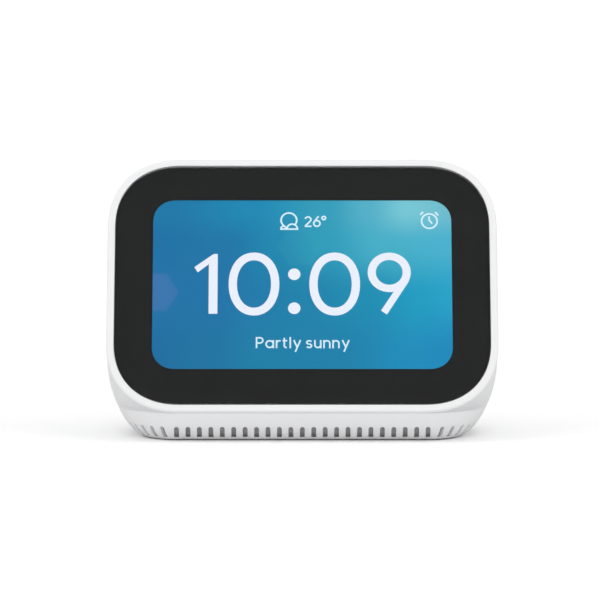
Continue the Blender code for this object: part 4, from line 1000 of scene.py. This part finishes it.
def smoothingGroup(angle=35):
    # loose triangles are joined and shaded smooth across shallow angles
    group = bpy.data.node_groups.new("joinAndSmooth", "GeometryNodeTree")
    group.interface.new_socket("Geometry", in_out="INPUT", socket_type="NodeSocketGeometry")
    group.interface.new_socket("Geometry", in_out="OUTPUT", socket_type="NodeSocketGeometry")
    entry, leave = group.nodes.new("NodeGroupInput"), group.nodes.new("NodeGroupOutput")
    merged = wire(group, "GeometryNodeMergeByDistance", {"Distance": weldDistance}, Geometry=entry.outputs[0])
    bend = wire(group, "GeometryNodeInputMeshEdgeAngle")
    shallow = wire(group, "FunctionNodeCompare", {"operation": "LESS_EQUAL"}, input0=bend.outputs[0])
    shallow.inputs[1].default_value = radians(angle)
    faces = wire(group, "GeometryNodeSetShadeSmooth", {"domain": "FACE"}, Geometry=merged.outputs[0])
    edges = wire(group, "GeometryNodeSetShadeSmooth", {"domain": "EDGE"}, Geometry=faces.outputs[0])
    group.links.new(shallow.outputs[0], edges.inputs["Shade Smooth"])
    group.links.new(edges.outputs[0], leave.inputs[0])
    return group


smoothing = smoothingGroup()
replaced = {"rear_shell", "front_frame", "cover_glass", "volume_up_button", "volume_down_button", "mute_knob",
            "base_plate", "rubber_foot"} | {f"base_screw_{number}" for number in range(1, 5)}
for name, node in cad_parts.items():
    if name in replaced:
        continue
    finish = materials[finishFor.get(name, "plated_steel")]
    for slot in node.material_slots:
        slot.material = finish
    step = node.modifiers.new("joinAndSmooth", "NODES")
    step.node_group = smoothing
print("CAD nodes finished")


# floor, light and camera

roomSizes = {
    "floorHalf": 3.0,
    "floorColour": (0.77, 0.77, 0.775),
    "dome": 1.08, "domeFall": 0.54,   # brightness of the white room, and its fall from front to rear
    "flag": 0.08,                 # brightness of the dark cloth that the glass mirrors
    "flagDirection": (0.0, -0.710, 0.704),
    "flagInner": 16.0, "flagOuter": 34.0,
    "backdrop": 1.15,
    "floorSeen": (1.14, 1.14, 1.14),
    "frontLight": 3.0, "frontSize": 0.8, "frontPlace": (0.0, -1.5, 0.55), "frontAim": 0.04,
}
cameraSizes = {"target": (-0.66 * mm, -20.0 * mm, 39.9 * mm), "distance": 1.33, "rise": 4.45,
               "lens": 277.0, "sensor": 36.0}


def makeRoom():
    look = roomSizes
    material, tree, shader = newMaterial("paleFloor")
    place = wire(tree, "ShaderNodeTexCoord").outputs["Object"]
    cloud = wire(tree, "ShaderNodeTexNoise", {"Scale": 3.0}, Vector=place).outputs["Fac"]
    tone = mixed(tree, cloud, look["floorSeen"], [c * 0.995 for c in look["floorSeen"]])
    direct = wire(tree, "ShaderNodeLightPath").outputs["Is Camera Ray"]
    # the floor throws back less light than it shows
    tree.links.new(mixed(tree, direct, look["floorColour"], tone), shader.inputs["Base Color"])
    shader.inputs["Roughness"].default_value = 0.9
    shader.inputs["Specular IOR Level"].default_value = 0.0
    bm = bmesh.new()
    bmesh.ops.create_grid(bm, x_segments=8, y_segments=8, size=look["floorHalf"])
    bmesh.ops.translate(bm, verts=bm.verts[:], vec=(0, 0, -0.01 * mm))
    floor = addPiece("floor", bm, material)

    world = bpy.data.worlds.new("room")
    world.use_nodes = True
    bpy.context.scene.world = world
    tree = world.node_tree
    way = wire(tree, "ShaderNodeTexCoord").outputs["Generated"]
    facing = wire(tree, "ShaderNodeVectorMath", {"operation": "DOT_PRODUCT"}, input0=way)
    facing.inputs[1].default_value = look["flagDirection"]
    split = wire(tree, "ShaderNodeSeparateXYZ", Vector=way)
    wall = mapped(tree, split.outputs[1], -1.0, 1.0, look["dome"] + look["domeFall"], look["dome"] - look["domeFall"])
    dome = mapped(tree, facing.outputs["Value"], cos(radians(look["flagOuter"])), cos(radians(look["flagInner"])),
                  0.0, look["flag"], "SMOOTHSTEP")
    tree.links.new(wall, dome.node.inputs["To Min"])
    path = wire(tree, "ShaderNodeLightPath").outputs["Is Camera Ray"]
    seen = wire(tree, "ShaderNodeMix", input0=path, input2=dome)
    seen.inputs[3].default_value = look["backdrop"]
    background = tree.nodes.get("Background") or tree.nodes.new("ShaderNodeBackground")
    tree.links.new(seen.outputs[0], background.inputs["Strength"])
    background.inputs["Color"].default_value = (1, 1, 1, 1)

    lamp = bpy.data.lights.new("frontLight", "AREA")
    lamp.shape, lamp.size, lamp.energy = "DISK", look["frontSize"], look["frontLight"]
    light = bpy.data.objects.new("frontLight", lamp)
    light.location = look["frontPlace"]
    aim = Vector((0, 0, look["frontAim"])) - Vector(look["frontPlace"])
    light.rotation_euler = aim.to_track_quat("-Z", "Y").to_euler()
    collection.objects.link(light)


def makeCamera():
    look = cameraSizes
    data = bpy.data.cameras.new("camera")
    data.lens, data.sensor_width = look["lens"], look["sensor"]
    data.clip_start, data.clip_end = 0.05, 20.0
    camera = bpy.data.objects.new("camera", data)
    rise = radians(look["rise"])
    camera.location = Vector(look["target"]) + look["distance"] * Vector((0, -cos(rise), sin(rise)))
    camera.rotation_euler = (pi / 2 - rise, 0, 0)
    collection.objects.link(camera)
    bpy.context.scene.camera = camera
    bpy.context.scene.view_settings.view_transform = "Standard"


makeRoom()
makeCamera()
print("room, light and camera set")
